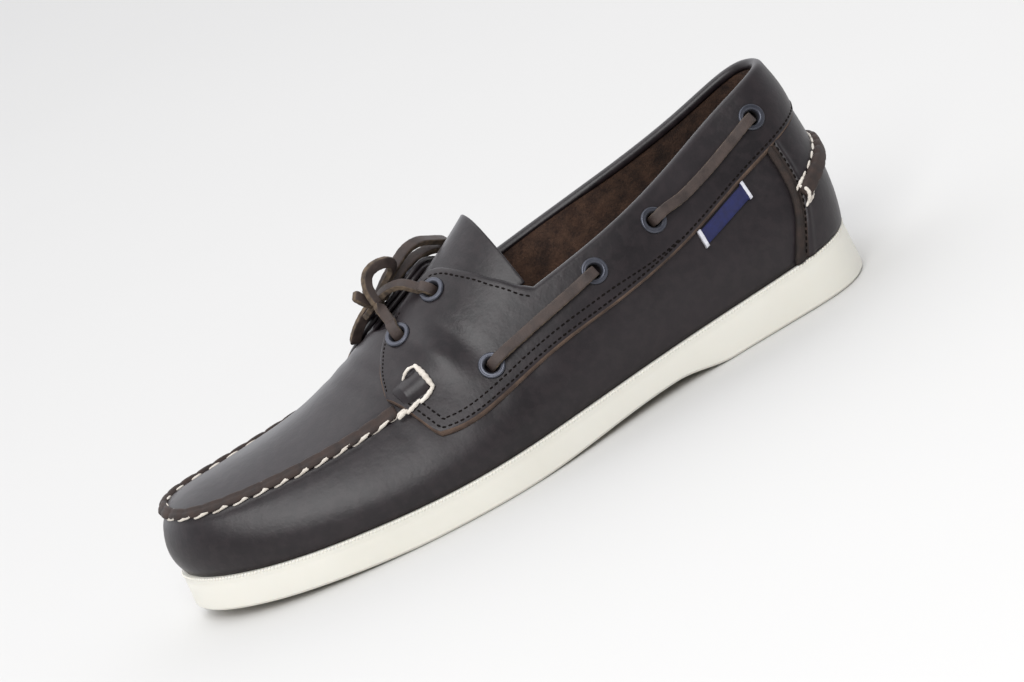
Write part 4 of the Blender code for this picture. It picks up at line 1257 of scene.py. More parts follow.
@dataclass
class Saddle:
    """The eyestay and collar band, with its raw lower edge and its turned-over collar."""

    shop: Workshop
    cut: Cut
    gap: float = 0.0004
    thickness: float = 0.0019
    spacing: float = 0.0016
    rows: int = 34
    wrap_depth: float = 0.0010
    wrap_from: tuple[float, float] = (0.005, 0.060)
    raw_front: float = -0.1560
    edge_round: float = 0.0014
    swell: float = 0.0010
    collar_inside: float = 0.0021
    edge_profile: tuple = ((0.12, 0.35), (0.60, 0.88), (1.0, 1.0))
    folds: tuple = ((0.0017, 0.060, -0.088, 0.017, 0.55, 0.26), (-0.0011, 0.060, -0.056, 0.013, 0.55, 0.22),
                    (-0.0006, 0.0, -0.140, 0.010, 0.80, 0.16))

    def turns(self) -> Array:
        """Turns from the lateral front point round the heel to the medial front point.

        Returns:
            The turns in that order.
        """
        last = self.shop.last
        front = float(last.turn_at(SADDLE_TOP[0][0]))
        half = last.even_turns(0.0, front, self.spacing, 0.9)
        half[-1] = front
        return np.concatenate([-half[::-1], half[1:]])

    def lift(self, turn: Array, level: Array, low: Array, high: Array) -> Array:
        """Height of the outer face over the last, with the main soft forms.

        Args:
            turn: Signed turns.
            level: Levels.
            low: Lowest level of each column.
            high: Highest level of each column.

        Returns:
            Distances from the last's surface.
        """
        place = self.shop.last.place_at(turn)
        share = np.clip((level - low) / np.maximum(high - low, 1e-6), 0.0, 1.0)
        rise = self.gap + self.thickness + self.swell * np.sin(math.pi * share) * smooth_step(place, 0.05, 0.35)
        for height, lean, middle, width, up, reach in self.folds:
            rise = rise + height * bump(place + lean * (share - 0.5), middle, width) * bump(share, up, reach)
        return rise

    def build(self) -> Piece:
        """The overlay as one closed body, with raw edges below and in front.

        Returns:
            The piece.
        """
        last, turn = self.shop.last, self.turns()
        low, high = self.cut.saddle_span(turn)
        place, span = last.place_at(turn), high - low
        rise = np.maximum(np.linalg.norm(last.point(turn, high) - last.point(turn, low), axis=-1), 1e-5)
        soft = np.minimum(self.edge_round, 0.3 * rise) / rise
        steps = [(reach * soft, depth) for reach, depth in self.edge_profile]
        steps += [(soft + (1.0 - soft) * step, 1.0) for step in np.linspace(0.0, 1.0, self.rows)[1:]]
        skin = np.full_like(turn, SKIN)
        rows = [last.offset(turn, low, skin)]
        for share, depth in steps:
            level = low + span * share
            rows.append(last.offset(turn, level, depth * self.lift(turn, level, low, high)))
        top, out = last.point(turn, high), last.normal(turn, high)
        climb = unit(np.cross(out, unit(np.gradient(top, axis=0))))
        climb = climb * np.sign(np.sum(climb * (top - last.point(turn, low)), axis=1, keepdims=True))
        wrapped = smooth_step(place, *self.wrap_from)
        outer, inner = self.lift(turn, high, low, high), -wrapped * self.collar_inside
        middle, radius = 0.5 * (outer + inner), 0.5 * (outer - inner)
        for angle in np.radians([25.0, 50.0, 75.0, 100.0, 125.0, 150.0, 180.0]):
            rows.append(top + climb * (radius * math.sin(angle))[:, None]
                        + out * (middle + radius * math.cos(angle))[:, None])
        rows += [top - climb * (wrapped * self.wrap_depth)[:, None] + out * (inner * depth)[:, None]
                 for depth in (1.0, 0.6)]
        rows += [last.offset(turn, low + span * share, skin) for share in (0.995, 0.8, 0.6, 0.4, 0.2, 0.005)]
        grid = np.array(rows).transpose(1, 0, 2)
        raw = np.zeros(grid.shape[:2], dtype=int)[:-1]
        raw[:, :3] = 1
        raw[place[:-1] < self.raw_front, 3 + self.rows:9 + self.rows] = 1
        return self.shop.mesh("saddle_and_collar", *tube(grid), ["oiled_leather", "raw_edge"],
                              [*raw.ravel(), 1, 1])

    def hem(self, side: Side, distance: float, end: float, merge: float | None = None) -> tuple:
        """A line inside the saddle's front and lower edges, turned sharply at its corner.

        Args:
            side: Side of the shoe.
            distance: Distance inside the edges.
            end: Place at which the line ends.
            merge: Distance at the line's end, if it comes nearer to the edge there.

        Returns:
            Points and directions, from the front edge's top rearwards.
        """
        last = self.shop.last
        corner = SADDLE_FRONT[2][0]
        slant = np.linspace(SADDLE_FRONT[0][0] + 0.006, corner, 60)
        turn = last.turn_at(slant, side)
        low = last.level_at_height(turn, self.cut.edge_height(slant))
        edge, out = last.point(turn, low), last.normal(turn, low)
        inward = np.cross(out, unit(np.gradient(edge, axis=0)))
        inward = unit(inward * np.sign(inward[:, :1]))
        front = edge + inward * distance
        turn = side.value * last.even_turns(float(last.turn_at(corner)), float(last.turn_at(end)), 0.0010, 0.8)
        low, _ = self.cut.saddle_span(turn)
        nearer = distance if merge is None else distance + (merge - distance) * smooth_step(
            last.place_at(turn), 0.13, 0.25)
        level = last.climb(turn, low, nearer)
        band, band_out = last.point(turn, level), last.normal(turn, level)
        foot = last.point(turn, low)

        keep_front, keep_band = (
            np.linalg.norm(line[:, None, :] - other[None, :, :], axis=-1).min(axis=1) >= 0.97 * distance
            for line, other in ((front, foot), (band, edge)))
        points = np.vstack([front[keep_front], band[keep_band]])
        facing = np.vstack([out[keep_front], band_out[keep_band]])
        return points + facing * self.thickness, facing

    def top_line(self, side: Side, distance: float, start: float, end: float) -> tuple:
        """A line along the eyestay's top edge, from one place to another.

        Args:
            side: Side of the shoe.
            distance: Distance below the edge.
            start: First place.
            end: Last place.

        Returns:
            Points and directions.
        """
        last = self.shop.last
        turn = last.turn_at(np.linspace(start, end, 90), side)
        _, high = self.cut.saddle_span(turn)
        level = last.climb(turn, high, -distance)
        return last.offset(turn, level, np.full_like(turn, self.thickness)), last.normal(turn, level)


@dataclass
class Tongue:
    """The arched flap that stands up behind the throat."""

    shop: Workshop
    front: float = -0.175
    tip: float = 0.038
    side_tip: float = 0.056
    edge_level: float = 1.10
    depth: float = 0.0023
    thickness: float = 0.0018
    edge_bevel: float = 0.0005
    rows: int = 26
    columns: int = 60

    def build(self) -> Piece:
        """The flap with rounded edges and a suede back.

        Returns:
            The piece, whose wall and edges are still modifiers.
        """
        last = self.shop.last
        step, level = np.meshgrid(
            np.linspace(0.0, 1.0, self.columns), np.linspace(self.edge_level, 2.0, self.rows))
        rounding = ((2.0 - level) / (2.0 - self.edge_level)) ** 1.5
        end = self.tip + (self.side_tip - self.tip) * rounding
        place = self.front + (end - self.front) * step
        grids = [last.offset(last.turn_at(place, side), level, np.full_like(level, -self.depth)) for side in Side]
        middle = 0.5 * (grids[0][-1] + grids[1][-1])
        middle[:, 1] = 0.0
        for grid in grids:
            grid[-1] = middle
        tongue = self.shop.shell("tongue_flap", grids, self.thickness)
        edge = tongue.modifiers.new("Edge", "BEVEL")
        edge.width, edge.segments, edge.angle_limit = self.edge_bevel, 2, math.radians(50.0)
        return tongue


@dataclass
class Counter:
    """The overlay round the heel with its raised front edges, and the roll sewn across it."""

    shop: Workshop
    cut: Cut
    fronts: tuple = ((0.00, 0.113), (0.12, 0.099), (0.27, 0.080), (0.37, 0.072), (0.50, 0.068), (1.00, 0.064))
    gap: float = 0.0003
    thickness: float = 0.0015
    roll_end: float = 0.060
    roll_heights: tuple[float, float] = (0.470, 0.572)
    roll_radius: float = 0.0022
    roll_width: float = 0.0062
    roll_height: float = 0.0036
    roll_corner: float = 0.0015
    tie_radius: float = 0.00075
    columns: int = 121
    rows: int = 26
    foot: float = 0.012
    tucked: float = 0.0010
    ribs: tuple = ((0.0007, 0.0009, 0.0007), (0.0006, 0.0030, 0.0007), (-0.0006, 0.0019, 0.0004))
    ribbed_to: float = 0.0022

    def front_turn(self, level: Array) -> Array:
        """Turn of the counter's front edge at a level."""
        return np.arccos(1.0 - 2.0 * soft_table(self.fronts, level, 0.05))

    def build(self) -> Piece:
        """The overlay as one closed body with raw front edges.

        Returns:
            The piece.
        """
        last, count = self.shop.last, self.columns
        share = np.linspace(-1.0, 1.0, count)
        share = np.sign(share) * (1.0 - (1.0 - np.abs(share)) ** 1.5)
        head = share * float(self.front_turn(np.array([1.0]))[0])
        high = last.level_at_height(head, self.cut.edge_height(last.place_at(head)) + self.tucked)
        level = self.foot + (high - self.foot) * np.linspace(0.0, 1.0, self.rows)[:, None]
        turn = share[None, :] * self.front_turn(level)
        inset = (1.0 - np.abs(share)) * self.front_turn(np.array([0.5]))[0] * 0.5 * last.length * 0.30
        rounding = np.sqrt(np.clip(1.0 - (1.0 - np.clip(inset / 0.0006, 0.0, 1.0)) ** 2, 0.0, 1.0))
        rib = sum(rise * bump(inset, middle, width) for rise, middle, width in self.ribs)
        height = self.gap + (self.thickness + rib) * (0.72 + 0.28 * rounding)
        outer = last.offset(turn, level, np.broadcast_to(height, turn.shape))
        inner = last.offset(turn, level, np.full_like(turn, SKIN))
        grid = np.concatenate([inner[:, :1], outer, inner[:, :0:-1]], axis=1)
        ribbed = int(np.sum(inset[:count // 2] < self.ribbed_to))
        marks = [int(i <= ribbed or count - ribbed <= i <= count) for i in range(grid.shape[1])]
        return self.shop.mesh("heel_counter_leather", *tube(grid), ["oiled_leather", "rib_edge"],
                              marks * (self.rows - 1) + [0, 0])

    def front_line(self, side: Side, distance: float) -> tuple[Array, Array]:
        """A line on the counter behind its front edge.

        Args:
            side: Side of the shoe.
            distance: Distance from the edge.

        Returns:
            Points and directions.
        """
        last = self.shop.last
        level = np.linspace(0.05, 0.80, 50)
        turn = side.value * (self.front_turn(level) - distance / (0.5 * last.length * 0.42))
        return last.offset(turn, level, np.full_like(level, self.thickness)), last.normal(turn, level)

    def roll_path(self, lift: float, down: float = 0.0) -> tuple[Array, Array]:
        """The roll's path across the heel and the way out along it.

        Args:
            lift: Distance over the last.
            down: Distance below the roll's middle line.

        Returns:
            Points and directions.
        """
        last = self.shop.last
        end = float(np.arccos(1.0 - 2.0 * self.roll_end))
        share = np.linspace(-1.0, 1.0, 140)
        low, high = self.roll_heights
        height = last.collar_height * (high + (low - high) * share * share) - down
        turn = end * share
        level = last.level_at_height(turn, height)
        return last.offset(turn, level, np.full_like(turn, lift)), last.normal(turn, level)

    def build_roll(self) -> Piece:
        """The folded strip that is hand-sewn across the heel.

        Returns:
            The piece.
        """
        path, out = self.roll_path(self.gap + self.thickness + 0.6 * self.roll_radius)
        lengths = travelled(path)
        pinch = 1.0 - 0.14 * np.abs(np.sin(math.pi * lengths / HEEL_STITCH.pitch)) ** 6
        ends = np.minimum(1.0, 0.55 + 0.45 * np.minimum(lengths, lengths[-1] - lengths) / 0.0015)
        section = rounded_box(self.roll_width, self.roll_height, self.roll_corner, 4)
        body = sweep(path, out, section, np.column_stack([ends * pinch, ends]))
        return self.shop.mesh("heel_roll", *body, ["seam_leather"])

    def roll_ties(self) -> list[tuple[float, Array]]:
        """Thread bars that box in each end of the roll.

        Returns:
            Radius and route of each bar.
        """
        half = 0.5 * self.roll_width + 0.0004
        face = self.gap + self.thickness
        (top, _), (middle, _), (low, _) = (
            self.roll_path(face + lift, down) for lift, down in ((0.0010, -half), (0.0030, 0.0), (0.0010, half)))
        bars = []
        for end, near, inner in ((0, 2, 7), (-1, -3, -8)):
            routes = ([top[inner], top[end]], [top[end], middle[near], low[end]], [low[end], low[inner]])
            bars += [(self.tie_radius, np.array(route)) for route in routes]
        return bars


RIDGE = (
    (0.0, 0.0, 0.0, -0.0006, 0.0), (0.0, 0.0002, 0.0, 0.0, 0.0), (0.0, 0.0003, 1.0, 0.0, 0.35),
    (0.0, 0.0001, 1.0, 0.0, 0.70), (0.0, -0.0005, 0.5, 0.0, 0.96), (0.0, -0.0010, 0.3, 0.0, 1.0),
    (0.5, 0.0, 0.0, -0.00035, 1.0), (1.0, 0.0009, 0.0, 0.0, 1.0), (1.0, 0.0003, 0.0, 0.0, 0.95),
    (1.0, 0.0, -0.5, 0.0, 0.60), (1.0, -0.0001, 0.0, 0.0001, 0.0), (1.0, 0.0, 0.0, -0.0006, 0.0),
)


@dataclass
class MocSeam:
    """The raised hand-sewn seam round the toe plug."""

    shop: Workshop
    pitch: float = 0.0081
    width: float = 0.0021
    height: float = 0.0017
    overhang: float = 0.0012
    end: float = -0.1705
    inner_share: tuple[float, float] = (0.22, 0.78)
    spacing: float = 0.0007
    drawn_in: float = 0.0009

    def frame(self, spacing: float) -> tuple[Array, Array, Array, Array]:
        """The rim along the seam.

        Args:
            spacing: Distance between points.

        Returns:
            Points, outward directions in plan, turns, and lengths so far.
        """
        last = self.shop.last
        start = float(last.turn_at(self.end))
        turn = last.even_turns(-start, start - 2.0 * math.pi, spacing, 1.0)
        rim = last.rim(turn)
        outward = unit(np.cross(UP, unit(np.gradient(rim, axis=0))))
        outward = outward * np.sign(np.sum(outward * (rim - rim.mean(axis=0)), axis=1, keepdims=True))
        return rim, outward, turn, travelled(rim)

    def plug(self, rim: Array, outward: Array, inset: float) -> tuple[Array, Array]:
        """The toe plug at an inset from the rim.

        Args:
            rim: Points of the rim.
            outward: Outward directions in plan.
            inset: Distance inwards.

        Returns:
            Points on the plug and the ways up from it.
        """
        last = self.shop.last
        plan = rim - outward * inset
        side = np.where(plan[:, 1] > 0.0, 1.0, -1.0)
        turn = side * np.abs(last.turn_at(plan[:, 0] / last.length))
        level = np.maximum(last.level_at_width(turn, np.abs(plan[:, 1])), 1.0 + 1e-6)
        return last.point(turn, level), last.normal(turn, level)

    def feet(self, spacing: float) -> tuple[Array, ...]:
        """Where the ridge stands on the wall and on the plug.

        Args:
            spacing: Distance between points.

        Returns:
            Outer feet, inner feet, ways across from inner to outer, ways up, rise of the rim between
            the feet, and lengths so far.
        """
        last = self.shop.last
        rim, outward, turn, lengths = self.frame(spacing)
        steep = np.linalg.norm(last.point(turn, 1.0) - last.point(turn, 0.9), axis=-1) / 0.1
        level = 1.0 - self.overhang / steep
        low = last.point(turn, level)
        inner, up = self.plug(rim, outward, self.width)
        across = unit(low - inner)
        rise = np.cross(unit(np.gradient(rim, axis=0)), across)
        rise = unit(rise * np.sign(np.sum(rise * (last.normal(turn, level) + up), axis=1, keepdims=True)))
        proud = np.maximum(0.0, np.sum((rim - low) * rise, axis=1))
        return low, inner, across, rise, proud, lengths

    def build(self) -> Piece:
        """The ridge, drawn in at each stitch.

        Returns:
            The piece.
        """
        low, inner, across, rise, proud, lengths = self.feet(self.spacing)
        pinch = np.abs(np.sin(math.pi * lengths / self.pitch)) ** 0.35
        tall = (proud + self.height * (0.62 + 0.38 * pinch))[:, None]
        full = (self.drawn_in * pinch)[:, None]
        rows = [low + (inner - low) * share + across * (out + full * swell) + rise * (up + tall * reach)
                for share, out, swell, up, reach in RIDGE]
        return self.shop.mesh("moccasin_seam", *tube(np.array(rows).transpose(1, 0, 2)), ["seam_leather"])

    def stitch_lines(self) -> list[tuple[Array, Array]]:
        """The outer and the inner row of stitches.

        Returns:
            Points and directions of each row.
        """
        low, inner, across, rise, _, lengths = self.feet(0.0010)
        outer = low + across * 0.0005 + rise * 0.0004
        share = lengths / lengths[-1]
        seen = (share > self.inner_share[0]) & (share < self.inner_share[1])
        inside = (inner + rise * 0.0003)[seen], unit(0.35 * rise - across)[seen]
        return [(outer, unit(across + 0.5 * rise)), inside]


EYELETS = {
    "throat_rear": (-0.0463, 1.596), "throat_front": (-0.1131, 1.554), "side_1": (-0.0372, 0.750),
    "side_2": (0.1372, 0.854), "side_3": (0.2376, 0.856), "side_4": (0.4268, 0.856),
}


@dataclass
class Eyelets:
    """The lacquered rings round the lace holes."""

    shop: Workshop
    surface: BVHTree
    hole: float = 0.00285
    face: float = 0.0023
    overcut: float = 0.0011
    punch_rise: float = 0.0050
    punch_steps: int = 32
    steps: int = 44
    # Rings from this one on form the barrel's inside, painted near-black as shade.
    dark_from: int = 10
    section: tuple = (
        (0.0029, -0.0030), (0.0029, -0.0002), (0.0050, -0.0003), (0.0052, 0.0003), (0.0049, 0.00085),
        (0.0045, 0.00100), (0.0041, 0.00075), (0.0038, 0.00095), (0.0034, 0.00085), (0.0029, 0.0003),
        (0.0026, -0.0006), (0.0026, -0.0030), (0.0029, -0.0030),
    )

    def seat(self, side: Side, name: str) -> tuple[Array, Array]:
        """Where an eyelet sits on the leather.

        Args:
            side: Side of the shoe.
            name: Name of the eyelet.

        Returns:
            Its middle in the last's own place, and the way out.
        """
        last = self.shop.last
        place, level = (np.array([value]) for value in EYELETS[name])
        turn = last.turn_at(place, side)
        out = last.normal(turn, level)[0]
        point = last.offset(turn, level, np.array([self.face]))[0]
        way = Vector(out)
        hit = self.surface.ray_cast(Vector(point + self.shop.move) + way * 0.01, -way, 0.03)
        return (point if hit[0] is None else np.array(hit[0]) - self.shop.move), out

    def turned(self, side: Side, name: str, section: Sequence[tuple[float, float]], steps: int) -> Array:
        """A section turned round an eyelet's middle.

        Args:
            side: Side of the shoe.
            name: Name of the eyelet.
            section: Radius and height of each ring.
            steps: Points in each ring.

        Returns:
            Points of each ring, in the last's own place.
        """
        middle, out = self.seat(side, name)
        side_way = unit(np.cross(out, np.array([0.3, 0.2, 1.0])))
        other = np.cross(out, side_way)
        angle = np.linspace(0.0, 2.0 * math.pi, steps, endpoint=False)[:, None]
        return np.array([middle + out * height + radius * (np.cos(angle) * side_way + np.sin(angle) * other)
                         for radius, height in section])

    def build(self, side: Side, name: str) -> Piece:
        """One ring with its rolled flange and its barrel.

        Args:
            side: Side of the shoe.
            name: Name of the eyelet.

        Returns:
            The piece.
        """
        rings = self.turned(side, name, self.section, self.steps)
        faces = grid_faces(len(rings), self.steps, True)
        # The flange is lacquer; the barrel's inside and its hidden outer wall are painted near-black, painted
        # shade standing in for the dark of the hole.
        marks = [int(not 1 <= face[0] // self.steps < self.dark_from) for face in faces]
        return self.shop.mesh(f"eyelet_ring_{side.name.lower()}_{name}", rings.reshape(-1, 3), faces,
                              ["eyelet_lacquer", "hole_dark"], marks)

    def punch(self, pieces: Sequence[Piece]) -> None:
        """Cut the holes of all the eyelets through pieces of leather.

        Args:
            pieces: The pieces.
        """
        last = self.shop.last
        bodies = []
        for side in Side:
            for name, (place, level) in EYELETS.items():
                leather = last.point(last.turn_at(np.array([place]), side), level)[0]
                depth = float(np.linalg.norm(self.seat(side, name)[0] - leather)) + self.overcut
                section = ((self.hole, -depth), (self.hole, self.punch_rise))
                bodies.append(tube(self.turned(side, name, section, self.punch_steps)))
        # The cutters wear the near-black painted-shade finish.
        punches = self.shop.mesh("punches", *together(bodies), ["hole_dark"])
        for piece in pieces:
            cut = piece.modifiers.new("Holes", "BOOLEAN")
            cut.operation, cut.solver, cut.object = "DIFFERENCE", "EXACT", punches
            self.shop.plain(piece)
            piece.data.shade_smooth()
        bpy.data.objects.remove(punches, do_unlink=True)


STRAND_FRONT = ((-0.0333, -0.0143, 0.0702), (-0.0335, -0.0120, 0.0734), (-0.0339, -0.0090, 0.0777))
STRAND_REAR = (
    (-0.0171, -0.0140, 0.0766), (-0.0214, -0.0105, 0.0796), (-0.0255, -0.0075, 0.0805),
    (-0.0291, -0.0055, 0.0798), (-0.0317, -0.0040, 0.0783), (-0.0345, -0.0010, 0.0758),
    (-0.0362, 0.0040, 0.0724),
)
STRAND_MEDIAL = ((-0.0195, 0.0120, 0.0760), (-0.0240, 0.0080, 0.0768))
BOW_RING = (
    (-0.0339, -0.0090, 0.0777), (-0.0341, -0.0065, 0.0820), (-0.0333, -0.0050, 0.0857),
    (-0.0313, -0.0040, 0.0884), (-0.0278, -0.0030, 0.0895), (-0.0240, -0.0015, 0.0889),
    (-0.0209, 0.0010, 0.0868), (-0.0205, 0.0030, 0.0843), (-0.0230, 0.0050, 0.0812),
    (-0.0263, 0.0055, 0.0788), (-0.0301, 0.0050, 0.0764), (-0.0333, 0.0040, 0.0740),
)
LOOP_REAR = (
    (-0.0398, -0.0062, 0.0843), (-0.0371, -0.0045, 0.0802), (-0.0338, -0.0012, 0.0770),
    (-0.0293, 0.0030, 0.0774), (-0.0238, 0.0067, 0.0803), (-0.0175, 0.0094, 0.0832),
    (-0.0116, 0.0123, 0.0853), (-0.0053, 0.0148, 0.0851), (0.0000, 0.0188, 0.0822),
    (0.0046, 0.0228, 0.0792), (0.0066, 0.0258, 0.0764), (0.0046, 0.0262, 0.0757),
    (0.0005, 0.0236, 0.0774), (-0.0051, 0.0200, 0.0791), (-0.0116, 0.0154, 0.0796),
    (-0.0187, 0.0108, 0.0785), (-0.0241, 0.0076, 0.0769), (-0.0294, 0.0048, 0.0753),
)
LOOP_FRONT = (
    (-0.0304, 0.0040, 0.0757), (-0.0341, 0.0055, 0.0740), (-0.0376, 0.0077, 0.0714),
    (-0.0409, 0.0102, 0.0680), (-0.0434, 0.0132, 0.0641), (-0.0434, 0.0165, 0.0620),
    (-0.0398, 0.0198, 0.0628), (-0.0345, 0.0188, 0.0656), (-0.0305, 0.0135, 0.0704),
    (-0.0287, 0.0085, 0.0733),
)
END_MEDIAL = (
    (-0.0322, 0.0070, 0.0790), (-0.0310, 0.0135, 0.0782), (-0.0296, 0.0200, 0.0755),
    (-0.0284, 0.0260, 0.0705), (-0.0276, 0.0310, 0.0645), (-0.0271, 0.0350, 0.0585),
)
BOW_AXIS = (-0.500, -0.330, 0.800)
REAR_WIDTHS = ((0.300, 0.350, 0.500),) * 2 + ((-0.040, 0.500, 0.530),) + ((-0.380, 0.645, 0.570),) * 15
RING_AXIS = (0.543, 0.401, -0.733)


@dataclass
class Laces:
    """The rawhide lace: runs along the sides, strands from the throat, and the bow."""

    shop: Workshop
    eyelets: Eyelets
    width: float = 0.0042
    thickness: float = 0.0024
    corner: float = 0.0004
    sag: float = 0.0017
    clear: float = 0.0007
    spacing: float = 0.0006

    def strap(self, name: str, route: Sequence[Sequence[float]], wide: Sequence[Sequence[float]],
              held: float = 0.5) -> tuple[Piece, Array]:
        """A flat strap along a route.

        Args:
            name: Name of the piece.
            route: Points in the last's own place.
            wide: The way that the strap's width lies at each route point, or at one point alone,
                from which it is carried along without twist.
            held: Share of the strap at which that one point lies.

        Returns:
            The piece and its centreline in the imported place.
        """
        route = np.array(route, dtype=float)
        path = smooth_route(route, self.spacing)
        stops = travelled(route)
        steps = np.linspace(0.0, stops[-1], len(path))
        tangent = unit(np.gradient(path, axis=0))
        wide = np.array(wide, dtype=float)
        if wide.ndim == 1:
            first = int(held * (len(path) - 1))
            axis = np.empty_like(path)
            axis[first] = unit(wide - tangent[first] * float(wide @ tangent[first]))
            for order in (range(first + 1, len(path)), range(first - 1, -1, -1)):
                near = axis[first]
                for i in order:
                    near = unit(near - tangent[i] * float(near @ tangent[i]))
                    axis[i] = near
        else:
            axis = np.column_stack([np.interp(steps, stops, unit(wide)[:, i]) for i in range(3)])
        up = np.cross(axis, tangent)
        section = rounded_box(self.width, self.thickness, self.corner, 2, crisp=True)
        ends = np.minimum(1.0, 0.82 + 0.18 * np.minimum(steps, steps[-1] - steps) / 0.0010)
        rough = 1.0 + 0.020 * np.sin(steps * 2100.0) + 0.015 * np.sin(steps * 3700.0 + 1.0)
        body = sweep(path, up, section, np.column_stack([ends * rough, ends]))
        lateral = [int(abs(a[0] + b[0]) > 0.9 * self.width) for a, b in zip(section, [*section[1:], section[0]])]
        marks = lateral * (len(path) - 1) + [1, 1]
        return self.shop.mesh(name, *body, ["rawhide_lace", "lace_edge"], marks), path + self.shop.move

    def leave(self, side: Side, name: str, towards: Array) -> list[Array]:
        """Points by which the lace comes out of a hole and bends towards a point.

        Args:
            side: Side of the shoe.
            name: Name of the eyelet.
            towards: The point.

        Returns:
            Four points, from inside the hole outwards.
        """
        middle, out = self.eyelets.seat(side, name)
        along = np.asarray(towards) - middle
        along = unit(along - out * float(along @ out))
        lifts = ((0.0, -0.0030), (0.0002, -0.0010), (0.0012, 0.0012), (0.0036, 0.0023))
        return [middle + along * reach + out * lift for reach, lift in lifts]

    def side_runs(self) -> None:
        """The runs outside the collar band."""
        last = self.shop.last
        shares = np.array([0.22, 0.38, 0.55, 0.72, 0.84])
        lift = self.eyelets.face + 0.5 * self.thickness + self.clear
        for side in Side:
            for number, (front, rear) in enumerate((("side_1", "side_2"), ("side_3", "side_4")), start=1):
                start, out_a = self.eyelets.seat(side, front)
                end, out_b = self.eyelets.seat(side, rear)
                place, level = (a + (b - a) * shares for a, b in zip(EYELETS[front], EYELETS[rear]))
                turn = last.turn_at(place, side)
                if number == 2:
                    level = last.climb(turn, level, -self.sag * np.sin(math.pi * shares))
                middle = last.offset(turn, level, np.full_like(turn, lift))
                route = self.leave(side, front, end) + list(middle) + self.leave(side, rear, start)[::-1]
                ups = np.vstack([out_a] * 4 + list(last.normal(turn, level)) + [out_b] * 4)
                wide = np.cross(np.gradient(np.array(route), axis=0), ups)
                name = f"{side.name.lower()}_run_{number}"
                piece, _ = self.strap("lace_strap_" + name, route, wide)
                self.shop.settle(piece, Slot.LACE, "lace_" + name)

    def strands(self) -> None:
        """The strands that come up from the throat's eyelets to the knot."""
        strands = (
            ("front", Side.LATERAL, "throat_front", STRAND_FRONT, None),
            ("rear", Side.LATERAL, "throat_rear", STRAND_REAR, (Side.MEDIAL, "throat_front")),
            ("medial", Side.MEDIAL, "throat_rear", STRAND_MEDIAL, None),
        )
        for name, side, hole, points, other in strands:
            _, out = self.eyelets.seat(side, hole)
            route = self.leave(side, hole, points[0]) + [np.array(point) for point in points]
            ups = [out] * 4 + [out * 0.5 + UP * 0.5] * len(points)
            if other is not None:
                _, out_b = self.eyelets.seat(*other)
                route += self.leave(*other, points[-1])[::-1]
                ups += [out_b] * 4
            wide = unit(np.cross(np.gradient(np.array(route), axis=0), np.array(ups)))
            if name == "front":
                wide = wide * np.sign(wide @ np.array(RING_AXIS))[:, None]
                wide[-1] = RING_AXIS
            piece, _ = self.strap("lace_strand_" + name, route, wide)
            self.shop.settle(piece, Slot.LACE, "lace_crossing")

    def bow(self) -> None:
        """The ring over the knot, the loops and the ends, each a strap."""
        cords = (
            ("bow_knot_and_ring", BOW_RING, RING_AXIS, 0.3, "object", ("bow_knot", "bow_ring")),
            ("bow_strap_rear", LOOP_REAR, REAR_WIDTHS, 0.5, "object", ("bow_loop_rear", "bow_end_front")),
            ("bow_strap_front", LOOP_FRONT, BOW_AXIS, 0.35, "object", ("bow_loop_front",)),
            ("bow_strap_medial", END_MEDIAL, (1.0, 0.1, 0.0), 0.5, "bare", ("bow_end_medial",)),
        )
        for name, route, axis, held, far_end, nodes in cords:
            piece, path = self.strap(name, route, axis, held)
            self.shop.settle(piece, Slot.LACE, *nodes)


SOLE_RINGS = (
    ("bottom", 0.0096, 0.0000), ("bottom", 0.0093, 0.0012), ("bottom", 0.0073, 0.0012),
    ("bottom", 0.0070, 0.0000), ("bottom", 0.0020, 0.0000), ("bottom", 0.0008, 0.0003),
    ("bottom", 0.0001, 0.0012), ("side", 0.0001, 0.25), ("side", 0.0003, 0.50), ("side", 0.0004, 0.75),
    ("top", 0.0005, -0.0038), ("top", 0.0006, -0.0030), ("top", 0.0006, -0.0022),
    ("top", 0.0005, -0.0012), ("top", 0.0006, -0.0004), ("top", 0.0010, 0.0000),
    ("top", 0.0019, 0.0000), ("top", 0.0060, -0.0001),
)
SOCK_RINGS = (
    ("top", 0.0090, 0.0003), ("top", 0.0050, 0.0003), ("top", 0.0050, 0.0021), ("top", 0.0053, 0.00285),
    ("top", 0.0060, 0.0033), ("top", 0.0110, 0.00315),
)


